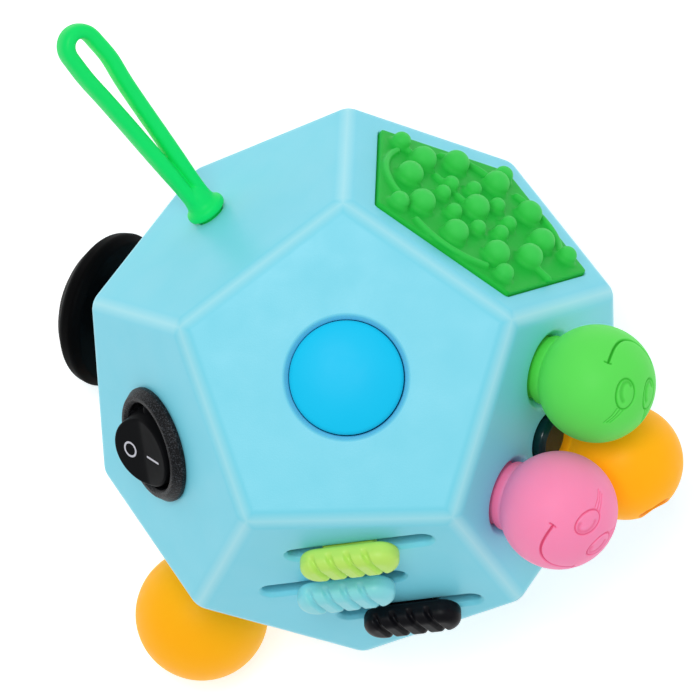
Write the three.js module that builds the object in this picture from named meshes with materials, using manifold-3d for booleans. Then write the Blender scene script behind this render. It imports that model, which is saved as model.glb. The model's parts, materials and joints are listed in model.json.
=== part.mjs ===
// A twelve-sided fidget toy: a hollow dodecahedron, 60 mm across its flats, with a different
// finger toy on every face.
//
// World frame: +Z up, millimetres. The toy stands on its back face, whose centre is the origin.
// Every face has its own frame: x and y lie in the face, z points straight out of it, and z = 0
// is the outer skin. Each toy is built in the frame of the face that carries it.

import * as THREE from 'three';
import { ConvexGeometry } from 'three/addons/geometries/ConvexGeometry.js';
import { mergeVertices } from 'three/addons/utils/BufferGeometryUtils.js';
import Module from 'manifold-3d';

const wasm = await Module();
wasm.setup();

// ---------------------------------------------------------------- driving dimensions

const INRADIUS = 30;          // body centre to a face
const WALL = 2;
const EDGE_ROUND = 3.2;       // outside radius along the edges
const GAP = 0.3;              // clearance between pieces that touch or slide
const ROUND = 24;             // sides of a large round piece
const SMALL_ROUND = 12;       // sides of a small round piece
const ROOT_5 = Math.sqrt(5);
const FACE_TILT = Math.atan(2);                     // angle between neighbouring face normals
const FACE_INRADIUS = INRADIUS * Math.tan(FACE_TILT / 2);
const UNDER_WALL = -WALL - GAP;                     // where pieces inside the body may start

const SEAM_GAP = 0.36;        // between the two shells, measured along Z
const LIP_HEIGHT = 2.2;
const LIP_THICKNESS = 1.1;

const BUTTON_RADIUS = 7.35;
const BUTTON_FLOOR = -9.5;

const LANYARD_PLACE = [1.75, -5.14];
const LANYARD_TWIST = 20;     // degrees, the loop's plane about its own long axis
const LANYARD_PIVOT = 4.1;    // height of the point that the loop bends about
const LANYARD_LENGTH = 33.6;

const PAD_CIRCUMRADIUS = 17.6;
const PAD_PROUD = 0.8;
const PAD_RECESS = 1;

const TRIO_PITCH = 9.9;       // three small balls on this circle
const TRIO_CENTRE = [0.1, 0.3];
const TRIO_BALL_RADIUS = 7.7;
const TRIO_BALL_HEIGHT = 7.2;
const NECK_RADIUS = 4.1;
const SOCKET_RADIUS = 4.4;
const SOCKET_MOUTH = 5.6;
const PLUG_TOP = -1.2;
const HUB_RADIUS = 3;

const SLIDER_ANGLE = 13.2;    // degrees, the slots' slope across their face
const SLOT_LENGTH = 19.4;
const SLOT_WIDTH = 2.8;
const SLIDER_CAP = { length: 13.2, width: 5.2, low: GAP, high: 3.4 };
const SLIDER_STEM = { length: 7, width: 2.2 };
const RUNNER = { length: 8.4, width: 4.4, low: -3.5 };
// along and across: the slot's centre; start: the cap's offset from it
const SLIDERS = [
  { name: 'lime', along: 3.4, across: 10.4, start: -1.3, colour: 0xc8f573 },
  { name: 'aqua', along: -2.9, across: 0.8, start: 1.8, colour: 0x82e1eb },
  { name: 'black', along: 4.9, across: -8.8, start: 0.4, colour: 0x101014 },
];
const SLIDER_SCREWS_ACROSS = [5.6, -4];

const ROCKER_CENTRE = [-0.5, 0];
const ROCKER_TURN = 65;       // degrees, direction from the ring mark to the bar mark
const ROCKER_BORE = 6;
const ROCKER_TILT = 9.8;      // degrees each way from level
const ROCKER_PIVOT = 0.6;

const JOYSTICK_PIVOT = -6;
const JOYSTICK_CAP_RADIUS = 11;
const JOYSTICK_CAP_HEIGHT = 9.8;

const BOUNCE_RADIUS = 9.2;
const BOUNCE_HEIGHT = 13.3;

const DIAL_RADIUS = 10.5;
const GEAR_RADIUS = 6.4;
const GEAR_WIDTH = 3.9;
const GEAR_PITCH = 4.5;
const GEAR_AXLE_DEPTH = -3.8;
const ROLLER_RADIUS = 6;
const ROLLER_DEPTH = -2.2;
const THUMB_PAD_RADIUS = 14;

// ---------------------------------------------------------------- shapes and booleans

const radians = THREE.MathUtils.degToRad;

// Turns a closed geometry into a solid that can be joined and cut.
function solid(geometry) {
  const bare = geometry.index ? geometry.toNonIndexed() : geometry.clone();
  for (const name of Object.keys(bare.attributes)) {
    if (name !== 'position') {
      bare.deleteAttribute(name);
    }
  }
  const merged = mergeVertices(bare, 1e-4);
  const corners = merged.index.array;
  const kept = [];
  for (let i = 0; i < corners.length; i += 3) {
    const [a, b, c] = [corners[i], corners[i + 1], corners[i + 2]];
    if (a !== b && b !== c && c !== a) {
      kept.push(a, b, c);
    }
  }
  const vertProperties = Float32Array.from(merged.attributes.position.array);
  const triVerts = Uint32Array.from(kept);
  return new wasm.Manifold(new wasm.Mesh({ numProp: 3, vertProperties, triVerts }));
}

function geometryOf(body) {
  const mesh = body.getMesh();
  const geometry = new THREE.BufferGeometry();
  geometry.setAttribute('position', new THREE.BufferAttribute(mesh.vertProperties, 3));
  geometry.setIndex(new THREE.BufferAttribute(mesh.triVerts, 1));
  geometry.computeVertexNormals();
  return geometry;
}

// Joins some geometries, then takes others away.
function carve(added, removed = []) {
  let body = solid(added[0]);
  for (const geometry of added.slice(1)) {
    body = body.add(solid(geometry));
  }
  for (const geometry of removed) {
    body = body.subtract(solid(geometry));
  }
  return body;
}

// A solid of revolution about z. The profile is [radius, z] points, counter-clockwise.
function revolve(profile, sides = ROUND) {
  const points = profile.map(([radius, z]) => new THREE.Vector2(radius, z));
  return new THREE.LatheGeometry(points, sides).rotateX(Math.PI / 2);
}

function closedRevolve(profile, sides = ROUND) {
  return revolve([...profile, profile[0]], sides);
}

function disc(radius, low, high, sides = ROUND) {
  return revolve([[0, low], [radius, low], [radius, high], [0, high]], sides);
}

function cone(lowRadius, highRadius, low, high, sides = ROUND) {
  return revolve([[0, low], [lowRadius, low], [highRadius, high], [0, high]], sides);
}

// Points of a circular arc in a profile, angles in degrees from the outward direction.
function arc(centreRadius, centreZ, radius, from, to, steps) {
  const points = [];
  for (let i = 0; i <= steps; i += 1) {
    const angle = radians(from + ((to - from) * i) / steps);
    points.push([centreRadius + radius * Math.cos(angle), centreZ + radius * Math.sin(angle)]);
  }
  return points;
}

function outline(points) {
  return new THREE.Shape(points.map(([x, y]) => new THREE.Vector2(x, y)));
}

function prism(shape, low, high) {
  const geometry = new THREE.ExtrudeGeometry(shape, { depth: high - low, bevelEnabled: false });
  return geometry.translate(0, 0, low);
}

// A shape drawn in x and z, given a thickness along y.
function slab(shape, fromY, toY) {
  return prism(shape, -toY, -fromY).rotateX(Math.PI / 2);
}

function block(x, y, low, high) {
  return new THREE.BoxGeometry(x, y, high - low).translate(0, 0, (low + high) / 2);
}

function rodAlongX(radius, from, to, z, sides = SMALL_ROUND) {
  return disc(radius, from, to, sides).rotateY(Math.PI / 2).translate(0, 0, z);
}

function rodAlongY(radius, from, to, z, sides = SMALL_ROUND) {
  return disc(radius, -to, -from, sides).rotateX(Math.PI / 2).translate(0, 0, z);
}

function regularPolygon(count, circumradius, firstAngle) {
  const points = [];
  for (let i = 0; i < count; i += 1) {
    const angle = radians(firstAngle + (360 * i) / count);
    points.push([circumradius * Math.cos(angle), circumradius * Math.sin(angle)]);
  }
  return points;
}

function stadium(length, width) {
  const shape = new THREE.Shape();
  const reach = (length - width) / 2;
  shape.absarc(reach, 0, width / 2, -Math.PI / 2, Math.PI / 2, false);
  shape.absarc(-reach, 0, width / 2, Math.PI / 2, (3 * Math.PI) / 2, false);
  return outline(shape.getPoints(6).slice(0, -1).map((point) => [point.x, point.y]));
}

function toothed(teeth, rootRadius, tipRadius) {
  const points = [];
  const corners = [[-0.34, rootRadius], [-0.17, tipRadius], [0.17, tipRadius], [0.34, rootRadius]];
  for (let tooth = 0; tooth < teeth; tooth += 1) {
    for (const [share, radius] of corners) {
      const angle = ((tooth + share) * 2 * Math.PI) / teeth;
      points.push([radius * Math.cos(angle), radius * Math.sin(angle)]);
    }
  }
  return outline(points);
}

class Helix extends THREE.Curve {
  constructor(radius, low, high, turns) {
    super();
    Object.assign(this, { radius, low, high, turns });
  }

  getPoint(t) {
    const angle = t * this.turns * 2 * Math.PI;
    const z = this.low + (this.high - this.low) * t;
    return new THREE.Vector3(this.radius * Math.cos(angle), this.radius * Math.sin(angle), z);
  }
}

// A coil spring; low and high are the wire's centre line at the two ends.
function spring(radius, wire, low, high, turns) {
  const extrudePath = new Helix(radius, low, high, turns);
  const section = outline(regularPolygon(4, wire, 0));
  return new THREE.ExtrudeGeometry(section, { steps: turns * 8, extrudePath });
}

// A silicone ball on its neck, from just above the skin.
function ballOnNeck(ballRadius, height) {
  const foot = -(180 / Math.PI) * Math.acos(NECK_RADIUS / ballRadius);
  return revolve(
    [[0, GAP], [NECK_RADIUS, GAP], ...arc(0, height, ballRadius, foot, 90, 8)], 20,
  );
}

// The part of a silicone moulding that is held in the wall.
function plug() {
  return revolve([
    [0, -3.5], [5.2, -3.5], [5.2, UNDER_WALL], [NECK_RADIUS, UNDER_WALL],
    [NECK_RADIUS, PLUG_TOP], [0, PLUG_TOP],
  ], SMALL_ROUND);
}

// The hole that a neck stands in, flared so that the ball can lean.
function neckHole() {
  return revolve([
    [0, -WALL - 1], [SOCKET_RADIUS, -WALL - 1], [SOCKET_RADIUS, -1],
    [SOCKET_MOUTH, 0], [SOCKET_MOUTH, 1], [0, 1],
  ], 20);
}

// ---------------------------------------------------------------- face frames

const bodyCentre = new THREE.Vector3(0, 0, INRADIUS);
const toy = new THREE.Group();

function faceFrame(normal, upInFace) {
  const frame = new THREE.Group();
  const side = new THREE.Vector3().crossVectors(upInFace, normal);
  frame.matrix.makeBasis(side, upInFace, normal);
  frame.matrix.setPosition(bodyCentre.clone().addScaledVector(normal, INRADIUS));
  frame.matrixAutoUpdate = false;
  toy.add(frame);
  return frame;
}

// The faces round the front lean up, the faces round the back lean down.
function ringFace(azimuth, front) {
  const around = radians(azimuth);
  const lean = front ? 1 : -1;
  const outward = new THREE.Vector3(Math.cos(around), Math.sin(around), 0);
  const normal = outward.clone().multiplyScalar(Math.sin(FACE_TILT));
  normal.z = lean * Math.cos(FACE_TILT);
  const upInFace = outward.multiplyScalar(-lean * Math.cos(FACE_TILT));
  upInFace.z = Math.sin(FACE_TILT);
  return faceFrame(normal, upInFace);
}

const frontFace = faceFrame(new THREE.Vector3(0, 0, 1), new THREE.Vector3(0, 1, 0));
const backFace = faceFrame(new THREE.Vector3(0, 0, -1), new THREE.Vector3(0, 1, 0));
const padFace = ringFace(54, true);
const lanyardFace = ringFace(126, true);
const rockerFace = ringFace(198, true);
const sliderFace = ringFace(270, true);
const trioFace = ringFace(342, true);
const gearFace = ringFace(18, false);
const dialFace = ringFace(90, false);
const joystickFace = ringFace(162, false);
const bounceFace = ringFace(234, false);
const rollerFace = ringFace(306, false);
const allFaces = toy.children.slice();

// A frame inside a face: moved in the face, then turned about the face's normal.
function subFrame(parent, [x, y], turn = 0) {
  const frame = new THREE.Group();
  frame.position.set(x, y, 0);
  frame.rotation.z = radians(turn);
  parent.add(frame);
  return frame;
}

function material(color, roughness, metalness = 0) {
  return new THREE.MeshStandardMaterial({ color, roughness, metalness });
}

const bodyPlastic = material(0x92e0ee, 0.42);
const buttonPlastic = material(0x28cdff, 0.35);
const blackPlastic = material(0x121214, 0.5);
const innerPlastic = material(0xd8dadc, 0.6);
const darkPlastic = material(0x0f2a2a, 0.5);
const steel = material(0xc4c7cc, 0.25, 1);
const padSilicone = material(0x2db441, 0.45);
const lanyardSilicone = material(0x28e15f, 0.4);
const greenSilicone = material(0x50e155, 0.5);
const pinkSilicone = material(0xff96c3, 0.5);
const amberSilicone = material(0xfcaf23, 0.5);
const blackRubber = material(0x0c0c0d, 0.75);

function place(frame, name, body, finish) {
  const mesh = new THREE.Mesh(geometryOf(body), finish);
  mesh.name = name;
  frame.add(mesh);
}

// ---------------------------------------------------------------- the two shells

// Corner points of a dodecahedron with the given inradius, about the body's centre.
function dodecahedronCorners(inradius) {
  const ratio = inradius / INRADIUS;
  const faceCircumradius = (FACE_INRADIUS / Math.cos(Math.PI / 5)) * ratio;
  const ringRadius = inradius * (ROOT_5 - 1);
  const ringHeight = inradius * (ROOT_5 - 2);
  const corners = [];
  for (let k = 0; k < 5; k += 1) {
    const high = radians(90 + 72 * k);
    const low = radians(270 + 72 * k);
    const rings = [
      [faceCircumradius, high, inradius], [ringRadius, high, ringHeight],
      [ringRadius, low, -ringHeight], [faceCircumradius, low, -inradius],
    ];
    for (const [radius, angle, z] of rings) {
      corners.push(new THREE.Vector3(radius * Math.cos(angle), radius * Math.sin(angle), z));
    }
  }
  return corners;
}

function plainDodecahedron(inradius) {
  const corners = dodecahedronCorners(inradius).map((corner) => corner.add(bodyCentre));
  return new ConvexGeometry(corners);
}

// Each corner of a smaller dodecahedron carries a patch of a sphere that touches three faces.
function roundedDodecahedron() {
  const points = [];
  const normals = allFaces.map((face) => new THREE.Vector3().setFromMatrixColumn(face.matrix, 2));
  const steps = 2;
  for (const corner of dodecahedronCorners(INRADIUS - EDGE_ROUND)) {
    const nearest = normals.slice().sort((a, b) => b.dot(corner) - a.dot(corner)).slice(0, 3);
    for (let i = 0; i <= steps; i += 1) {
      for (let j = 0; j <= steps - i; j += 1) {
        const direction = nearest[0].clone().multiplyScalar(i);
        direction.addScaledVector(nearest[1], j).addScaledVector(nearest[2], steps - i - j);
        direction.normalize();
        points.push(corner.clone().addScaledVector(direction, EDGE_ROUND).add(bodyCentre));
      }
    }
  }
  return new ConvexGeometry(points);
}

// Everything on one side of the zigzag seam that runs along ten edges of the dodecahedron.
function sideOfSeam(front, shift) {
  const ring = [];
  for (let k = 0; k < 10; k += 1) {
    const angle = radians(18 + 36 * k);
    const radius = 3 * INRADIUS * (ROOT_5 - 1);
    const z = 3 * INRADIUS * (ROOT_5 - 2) * (k % 2 === 0 ? 1 : -1);
    ring.push([radius * Math.cos(angle), radius * Math.sin(angle), z]);
  }
  const pole = [0, 0, (front ? 8 : -8) * INRADIUS];
  const centre = [0, 0, 0];
  const triangles = [];
  for (let k = 0; k < 10; k += 1) {
    const [here, next] = front ? [ring[k], ring[(k + 1) % 10]] : [ring[(k + 1) % 10], ring[k]];
    triangles.push(centre, next, here, pole, here, next);
  }
  const geometry = new THREE.BufferGeometry();
  geometry.setAttribute('position', new THREE.Float32BufferAttribute(triangles.flat(), 3));
  return solid(geometry.translate(0, 0, INRADIUS + shift));
}

function inFace(face, geometries) {
  return geometries.map((geometry) => geometry.applyMatrix4(face.matrix));
}

function moved(geometry, [x, y], turn = 0) {
  return geometry.rotateZ(radians(turn)).translate(x, y, 0);
}

function slotPlace({ along, across }) {
  const turn = radians(SLIDER_ANGLE);
  const x = along * Math.cos(turn) - across * Math.sin(turn);
  const y = along * Math.sin(turn) + across * Math.cos(turn);
  return [x, y];
}

const trio = [
  { name: 'green', angle: 30, finish: greenSilicone },
  { name: 'pink', angle: 150, finish: pinkSilicone },
  { name: 'amber', angle: 270, finish: amberSilicone },
];
for (const ball of trio) {
  const x = TRIO_CENTRE[0] + TRIO_PITCH * Math.cos(radians(ball.angle));
  const y = TRIO_CENTRE[1] + TRIO_PITCH * Math.sin(radians(ball.angle));
  ball.place = [x, y];
}

const through = [-WALL - 1, 1];
const gearOpening = { x: 14.2, y: 13 };
const dialHole = 3.4;
const joystickHole = 6.5;
const rockerBarrel = 6.9;
const screwPlaces = SLIDER_SCREWS_ACROSS.map((across) => slotPlace({ along: 0, across }));

const frontHoles = [
  ...inFace(frontFace, [
    disc(BUTTON_RADIUS + GAP, ...through),
    cone(BUTTON_RADIUS + GAP, BUTTON_RADIUS + GAP + 1.2, -0.8, 0.5),
  ]),
  ...inFace(padFace, [
    prism(outline(regularPolygon(5, PAD_CIRCUMRADIUS + 0.4, 54)), -PAD_RECESS, 1),
  ]),
  ...inFace(lanyardFace, [moved(disc(1.9, ...through, SMALL_ROUND), LANYARD_PLACE)]),
  ...inFace(rockerFace, [moved(disc(rockerBarrel + GAP, ...through), ROCKER_CENTRE)]),
  ...inFace(trioFace, [
    ...trio.map((ball) => moved(neckHole(), ball.place)),
    moved(disc(HUB_RADIUS + GAP, ...through, SMALL_ROUND), TRIO_CENTRE),
  ]),
  ...inFace(sliderFace, [
    ...SLIDERS.map((slot) => moved(
      prism(stadium(SLOT_LENGTH, SLOT_WIDTH), ...through), slotPlace(slot), SLIDER_ANGLE,
    )),
    ...screwPlaces.map((spot) => moved(disc(1.2, -5, -1, 12), spot)),
  ]),
];

const screwBosses = inFace(sliderFace, screwPlaces.map((spot) => (
  moved(disc(1.8, -4.1, -WALL + 0.4, 16), spot)
)));

const rearHoles = [
  ...inFace(backFace, [disc(THUMB_PAD_RADIUS + GAP, ...through)]),
  ...inFace(joystickFace, [disc(joystickHole, ...through)]),
  ...inFace(bounceFace, [neckHole()]),
  ...inFace(dialFace, [disc(dialHole, ...through, SMALL_ROUND)]),
  ...inFace(gearFace, [block(gearOpening.x, gearOpening.y, ...through)]),
  ...inFace(rollerFace, [cone(6.6, 5.4, -WALL - 1, 1)]),
];

function cutAll(body, geometries) {
  return geometries.reduce((rest, geometry) => rest.subtract(solid(geometry)), body);
}

const hollow = solid(roundedDodecahedron()).subtract(solid(plainDodecahedron(INRADIUS - WALL)));
let frontShell = hollow.intersect(sideOfSeam(true, SEAM_GAP / 2));
for (const boss of screwBosses) {
  frontShell = frontShell.add(solid(boss));
}
place(toy, 'front_shell', cutAll(frontShell, frontHoles), bodyPlastic);

// The rear shell's lip stands inside the front shell and locates it.
function innerBand(outerInradius, low, high) {
  const innerInradius = INRADIUS - WALL - GAP - LIP_THICKNESS;
  const band = solid(plainDodecahedron(outerInradius)).subtract(
    solid(plainDodecahedron(innerInradius)),
  );
  return band.intersect(sideOfSeam(true, low)).intersect(sideOfSeam(false, high));
}

// The lip is cut away where a slider's runner passes.
const runnerTracks = inFace(sliderFace, SLIDERS.map((slot) => moved(
  block(SLOT_LENGTH + 1, RUNNER.width + 2 * GAP, -5, -WALL), slotPlace(slot), SLIDER_ANGLE,
)));

const lip = cutAll(innerBand(INRADIUS - WALL - GAP, -LIP_HEIGHT, LIP_HEIGHT), runnerTracks);
const lipRoot = innerBand(INRADIUS - WALL + GAP, -LIP_HEIGHT, -SEAM_GAP / 2);
const rearShell = hollow.intersect(sideOfSeam(false, -SEAM_GAP / 2)).add(lipRoot).add(lip);
place(toy, 'rear_shell', cutAll(rearShell, rearHoles), bodyPlastic);

// ---------------------------------------------------------------- front: push button

const buttonFlange = { radius: 8.6, low: -3.3 };

place(frontFace, 'button_cap', carve([revolve([
  [0, BUTTON_FLOOR - 0.6], [1.5, BUTTON_FLOOR - 0.6], [1.5, buttonFlange.low],
  [buttonFlange.radius, buttonFlange.low], [buttonFlange.radius, UNDER_WALL],
  [BUTTON_RADIUS, UNDER_WALL], [BUTTON_RADIUS, 0.5], [7.15, 0.95],
  [6.7, 1.2], [5, 1.55], [2.6, 1.85], [0, 1.95],
])]), buttonPlastic);

place(frontFace, 'button_spring', carve([
  spring(4.2, 0.38, BUTTON_FLOOR + 0.75, buttonFlange.low - 0.75, 4),
]), steel);

place(frontFace, 'button_housing', carve([closedRevolve([
  [1.9, BUTTON_FLOOR - 1.2], [10, BUTTON_FLOOR - 1.2], [10, UNDER_WALL], [8.9, UNDER_WALL],
  [8.9, BUTTON_FLOOR], [1.9, BUTTON_FLOOR],
])]), innerPlastic);

// ---------------------------------------------------------------- lanyard loop

const lanyardFrame = subFrame(lanyardFace, LANYARD_PLACE, LANYARD_TWIST);

place(lanyardFrame, 'lanyard_collar', carve([revolve([
  [0, -3.3], [3, -3.3], [3, UNDER_WALL], [1.6, UNDER_WALL], [1.6, GAP],
  [2.5, GAP], [2.7, 0.7], [2.7, 1.5], [2.4, 1.9], [0, 2],
], SMALL_ROUND)]), lanyardSilicone);

// A flat band bent back on itself: strands nearly together at the foot, a round far end.
const loopEnd = { outer: 3.2, inner: 1.05 };
const loopFootRadius = LANYARD_PIVOT - 2 - GAP;
const loopTop = LANYARD_LENGTH - loopEnd.outer;
const loopOutline = outline([
  ...arc(0, LANYARD_PIVOT, loopFootRadius, 180, 360, 8),
  ...arc(0, loopTop, loopEnd.outer, 0, 180, 12),
]);
loopOutline.holes.push(new THREE.Path([
  ...arc(0, LANYARD_PIVOT + 4.6, 0.25, 180, 360, 2),
  ...arc(0, loopTop, loopEnd.inner, 0, 180, 8),
].map(([x, y]) => new THREE.Vector2(x, y))));
place(lanyardFrame, 'lanyard_loop', carve([slab(loopOutline, -1.7, 1.7)]), lanyardSilicone);

// ---------------------------------------------------------------- massage pad

// One dome in the middle and three rings of domes round it.
const domeRings = [
  { count: 1, ring: 0, first: 0, radius: 1.75, height: 2.5 },
  { count: 8, ring: 5, first: 22, radius: 1.05, height: 1.7 },
  { count: 10, ring: 10, first: 18, radius: 1.7, height: 2.4 },
  { count: 5, ring: 14, first: 54, radius: 1.25, height: 1.7 },
];

function padDomes() {
  const domes = [];
  for (const { count, ring, first, radius, height } of domeRings) {
    for (let k = 0; k < count; k += 1) {
      const angle = radians(first + (360 * k) / count);
      const dome = revolve([
        [0, 0], [radius, 0], [radius, PAD_PROUD + height * 0.4],
        [radius * 0.7, PAD_PROUD + height * 0.85], [0, PAD_PROUD + height],
      ], 6);
      domes.push(dome.translate(ring * Math.cos(angle), ring * Math.sin(angle), 0));
    }
  }
  return domes;
}

const padBase = prism(
  outline(regularPolygon(5, PAD_CIRCUMRADIUS, 54)), -PAD_RECESS + GAP, PAD_PROUD,
);
place(padFace, 'massage_pad', carve([padBase, ...padDomes()]), padSilicone);

// ---------------------------------------------------------------- three smiley balls

for (const ball of trio) {
  const frame = subFrame(trioFace, ball.place, ball.angle);
  place(frame, `ball_${ball.name}`, carve([ballOnNeck(TRIO_BALL_RADIUS, TRIO_BALL_HEIGHT)]),
    ball.finish);
  place(frame, `ball_${ball.name}_plug`, carve([plug()]), ball.finish);
}

place(subFrame(trioFace, TRIO_CENTRE), 'ball_retainer', carve([revolve([
  [0, -5], [14.4, -5], [14.4, -3.8], [HUB_RADIUS, -3.8], [HUB_RADIUS, 0.7], [2.5, 1.1], [0, 1.3],
])]), darkPlastic);

// ---------------------------------------------------------------- sliders

// A raised grip with four slanting grooves, on a stem that runs in the slot.
function sliderCap() {
  const { length, width, low, high } = SLIDER_CAP;
  const grip = prism(stadium(length, width), low, high);
  const stem = block(SLIDER_STEM.length, SLIDER_STEM.width, -4.1, low + 0.5);
  const grooves = [];
  for (let k = 0; k < 4; k += 1) {
    const groove = block(0.9, 2 * width, high - 0.8, high + 1);
    grooves.push(moved(groove, [(k - 1.5) * 2.6, 0], -35));
  }
  return carve([grip, stem], grooves);
}

function sliderRunner() {
  const plate = block(RUNNER.length, RUNNER.width, RUNNER.low, UNDER_WALL);
  const { length, width } = SLIDER_STEM;
  return carve([plate], [block(length + 2 * GAP, width + 2 * GAP, RUNNER.low - 1, 0)]);
}

for (const slider of SLIDERS) {
  const { name, along, across, start, colour } = slider;
  const frame = subFrame(sliderFace, slotPlace({ along: along + start, across }), SLIDER_ANGLE);
  place(frame, `slider_${name}`, sliderCap(), material(colour, 0.4));
  place(frame, `slider_${name}_runner`, sliderRunner(), innerPlastic);
}

const slidePlate = { low: -5.3, high: -4.4 };
place(sliderFace, 'slider_back_plate', carve(
  [prism(outline(regularPolygon(5, 18, 54)), slidePlate.low, slidePlate.high)],
  screwPlaces.map((spot) => moved(disc(1.2, -6, -4, 12), spot)),
), innerPlastic);

screwPlaces.forEach((spot, k) => {
  const head = slidePlate.low - GAP;
  place(subFrame(sliderFace, spot), `slider_screw_${k + 1}`, carve([revolve([
    [0, head - 0.9], [1.5, head - 0.9], [1.8, head], [0.9, head], [0.9, -1.5], [0, -1.3],
  ], 12)]), steel);
});

// ---------------------------------------------------------------- rocker switch

const rockerFrame = subFrame(rockerFace, ROCKER_CENTRE, ROCKER_TURN);
const rockerFloor = -10;

place(rockerFrame, 'rocker_housing', carve([
  closedRevolve([
    [0.01, rockerFloor - 1.2], [rockerBarrel, rockerFloor - 1.2], [rockerBarrel, GAP],
    [8, GAP], [8, 0.9], [7, 2], [ROCKER_BORE, 2], [ROCKER_BORE, rockerFloor],
    [0.01, rockerFloor],
  ]),
  disc(1, rockerFloor - 1, rockerFloor + 0.5, 12),
  slab(outline([[-3, rockerFloor - 0.2], [3, rockerFloor - 0.2], [0, -7.7]]), -2, 2),
], [
  rodAlongY(1.1, -6.8, 6.8, ROCKER_PIVOT, 16),
]), blackPlastic);

// The paddle's marked end stands proud at rest; it is turned about its pivot pins.
const paddleFrame = new THREE.Group();
paddleFrame.position.set(0, 0, ROCKER_PIVOT);
paddleFrame.rotation.y = radians(ROCKER_TILT);
rockerFrame.add(paddleFrame);

const paddleReach = 5.7;
const paddleEnd = 26.6;
const paddleSide = outline([
  ...arc(0, 0, paddleReach, 180 - paddleEnd, 205, 8),
  ...arc(0, 0, paddleReach, -25, paddleEnd, 8),
  [0, 1.8],
]);
const paddleBlank = solid(slab(paddleSide, -6, 6)).intersect(solid(disc(5.45, -7, 7)));
const paddle = paddleBlank
  .add(solid(rodAlongY(0.8, -6.5, 6.5, 0, 12)))
  .add(solid(disc(2.2, -5.8, -2, SMALL_ROUND)))
  .subtract(solid(disc(1.4, -7, -1, 16)));
place(paddleFrame, 'rocker_paddle', paddle, blackPlastic);

place(paddleFrame, 'rocker_plunger', carve([revolve([
  [0, -7.8], [0.6, -7.6], [1.05, -7], [1.05, -3.8], [0, -3.8],
], 12)]), steel);

place(paddleFrame, 'rocker_spring', carve([spring(0.8, 0.22, -3.25, -1.5, 3)]), steel);

// ---------------------------------------------------------------- joystick

const gimbal = { outer: 6.4, inner: 4.6, halfHeight: 1.2 };
const joystickFloor = -12.8;

place(joystickFace, 'joystick_housing', carve([revolve([
  [0, joystickFloor - 1.2], [9, joystickFloor - 1.2], [9, UNDER_WALL], [7.8, UNDER_WALL],
  [7.8, joystickFloor], [0, joystickFloor],
])], [
  rodAlongX(1.1, -10, 10, JOYSTICK_PIVOT, 16),
]), innerPlastic);

place(joystickFace, 'joystick_gimbal', carve([
  closedRevolve([
    [gimbal.inner, JOYSTICK_PIVOT - gimbal.halfHeight],
    [gimbal.outer, JOYSTICK_PIVOT - gimbal.halfHeight],
    [gimbal.outer, JOYSTICK_PIVOT + gimbal.halfHeight],
    [gimbal.inner, JOYSTICK_PIVOT + gimbal.halfHeight],
  ]),
  rodAlongX(0.8, gimbal.inner + 0.5, 8.6, JOYSTICK_PIVOT, 12),
  rodAlongX(0.8, -8.6, -gimbal.inner - 0.5, JOYSTICK_PIVOT, 12),
], [
  rodAlongY(1.1, -10, 10, JOYSTICK_PIVOT, 16),
]), innerPlastic);

place(joystickFace, 'joystick_stick', carve([
  revolve([
    [0, -9.8], [3.2, -9.8], [3.2, -9], [2.4, -8.6], [2.4, 6.2], [2, 6.7], [0, 6.7],
  ], SMALL_ROUND),
  rodAlongY(0.8, -6.3, 6.3, JOYSTICK_PIVOT, 12),
]), innerPlastic);

place(joystickFace, 'joystick_spring', carve([
  spring(3.4, 0.35, joystickFloor + 0.7, joystickFloor + 1.7, 2),
]), steel);

const capRing = JOYSTICK_CAP_HEIGHT;
place(joystickFace, 'joystick_cap', carve([closedRevolve([
  [2.7, 2.6], [4, 2.6], [4, 7.4], [6, 8.4], [10.2, 8.7], [JOYSTICK_CAP_RADIUS, capRing],
  [10, capRing + 2.4], [7, capRing + 4.3],
  [0.01, capRing + 5.5], [0.01, 7], [2.7, 7],
]), disc(1, 7.5, capRing + 5.4, 8)]), blackRubber);

// ---------------------------------------------------------------- large bouncing ball

place(bounceFace, 'bounce_ball', carve([ballOnNeck(BOUNCE_RADIUS, BOUNCE_HEIGHT)]),
  amberSilicone);
place(bounceFace, 'bounce_ball_plug', carve([plug()]), amberSilicone);

// ---------------------------------------------------------------- rotating dial

place(dialFace, 'dial_knob', carve([
  prism(toothed(20, DIAL_RADIUS - 0.5, DIAL_RADIUS), 0.4, 4.8),
  cone(9.8, 8.6, 4.7, 5.8),
], [
  disc(3.2, 0, 3.7, SMALL_ROUND),
  disc(1.3, 3.5, 4.9, 12),
  disc(1.6, 5, 7, 16).translate(6, 0, 0),
]), blackPlastic);

place(dialFace, 'dial_hub', carve([
  prism(toothed(12, 5.9, 6.6), -4.2, -2.4),
  disc(2.9, -2.5, 3.4, SMALL_ROUND),
], [
  disc(1.3, -5, 4, 12),
]), innerPlastic);

place(dialFace, 'dial_screw', carve([revolve([
  [0, -5.6], [1.9, -5.6], [2.2, -4.5], [1, -4.5], [1, 4.4], [0, 4.6],
], 12)]), steel);

// A bowed strip beside the star wheel gives the clicks.
place(dialFace, 'dial_spring', carve([slab(outline([
  [-4, -4.2], [4, -4.2], [4, -2.5], [-4, -2.5],
]), 7, 7.4)]), steel);

place(dialFace, 'dial_housing', carve([revolve([
  [0, -7.6], [10, -7.6], [10, UNDER_WALL], [8.8, UNDER_WALL], [8.8, -6.5], [0, -6.5],
])]), innerPlastic);

// ---------------------------------------------------------------- three thumb gears

const cradle = { x: 17.2, y: 15, innerX: 14.2, innerY: 13.4, floor: -10.7, base: -11.7 };

place(gearFace, 'gear_cradle', carve([
  block(cradle.x, cradle.y, cradle.base, UNDER_WALL),
], [
  block(cradle.innerX, cradle.innerY, cradle.floor, 0),
  rodAlongX(1.5, -12, 12, GEAR_AXLE_DEPTH, 16),
]), innerPlastic);

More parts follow.
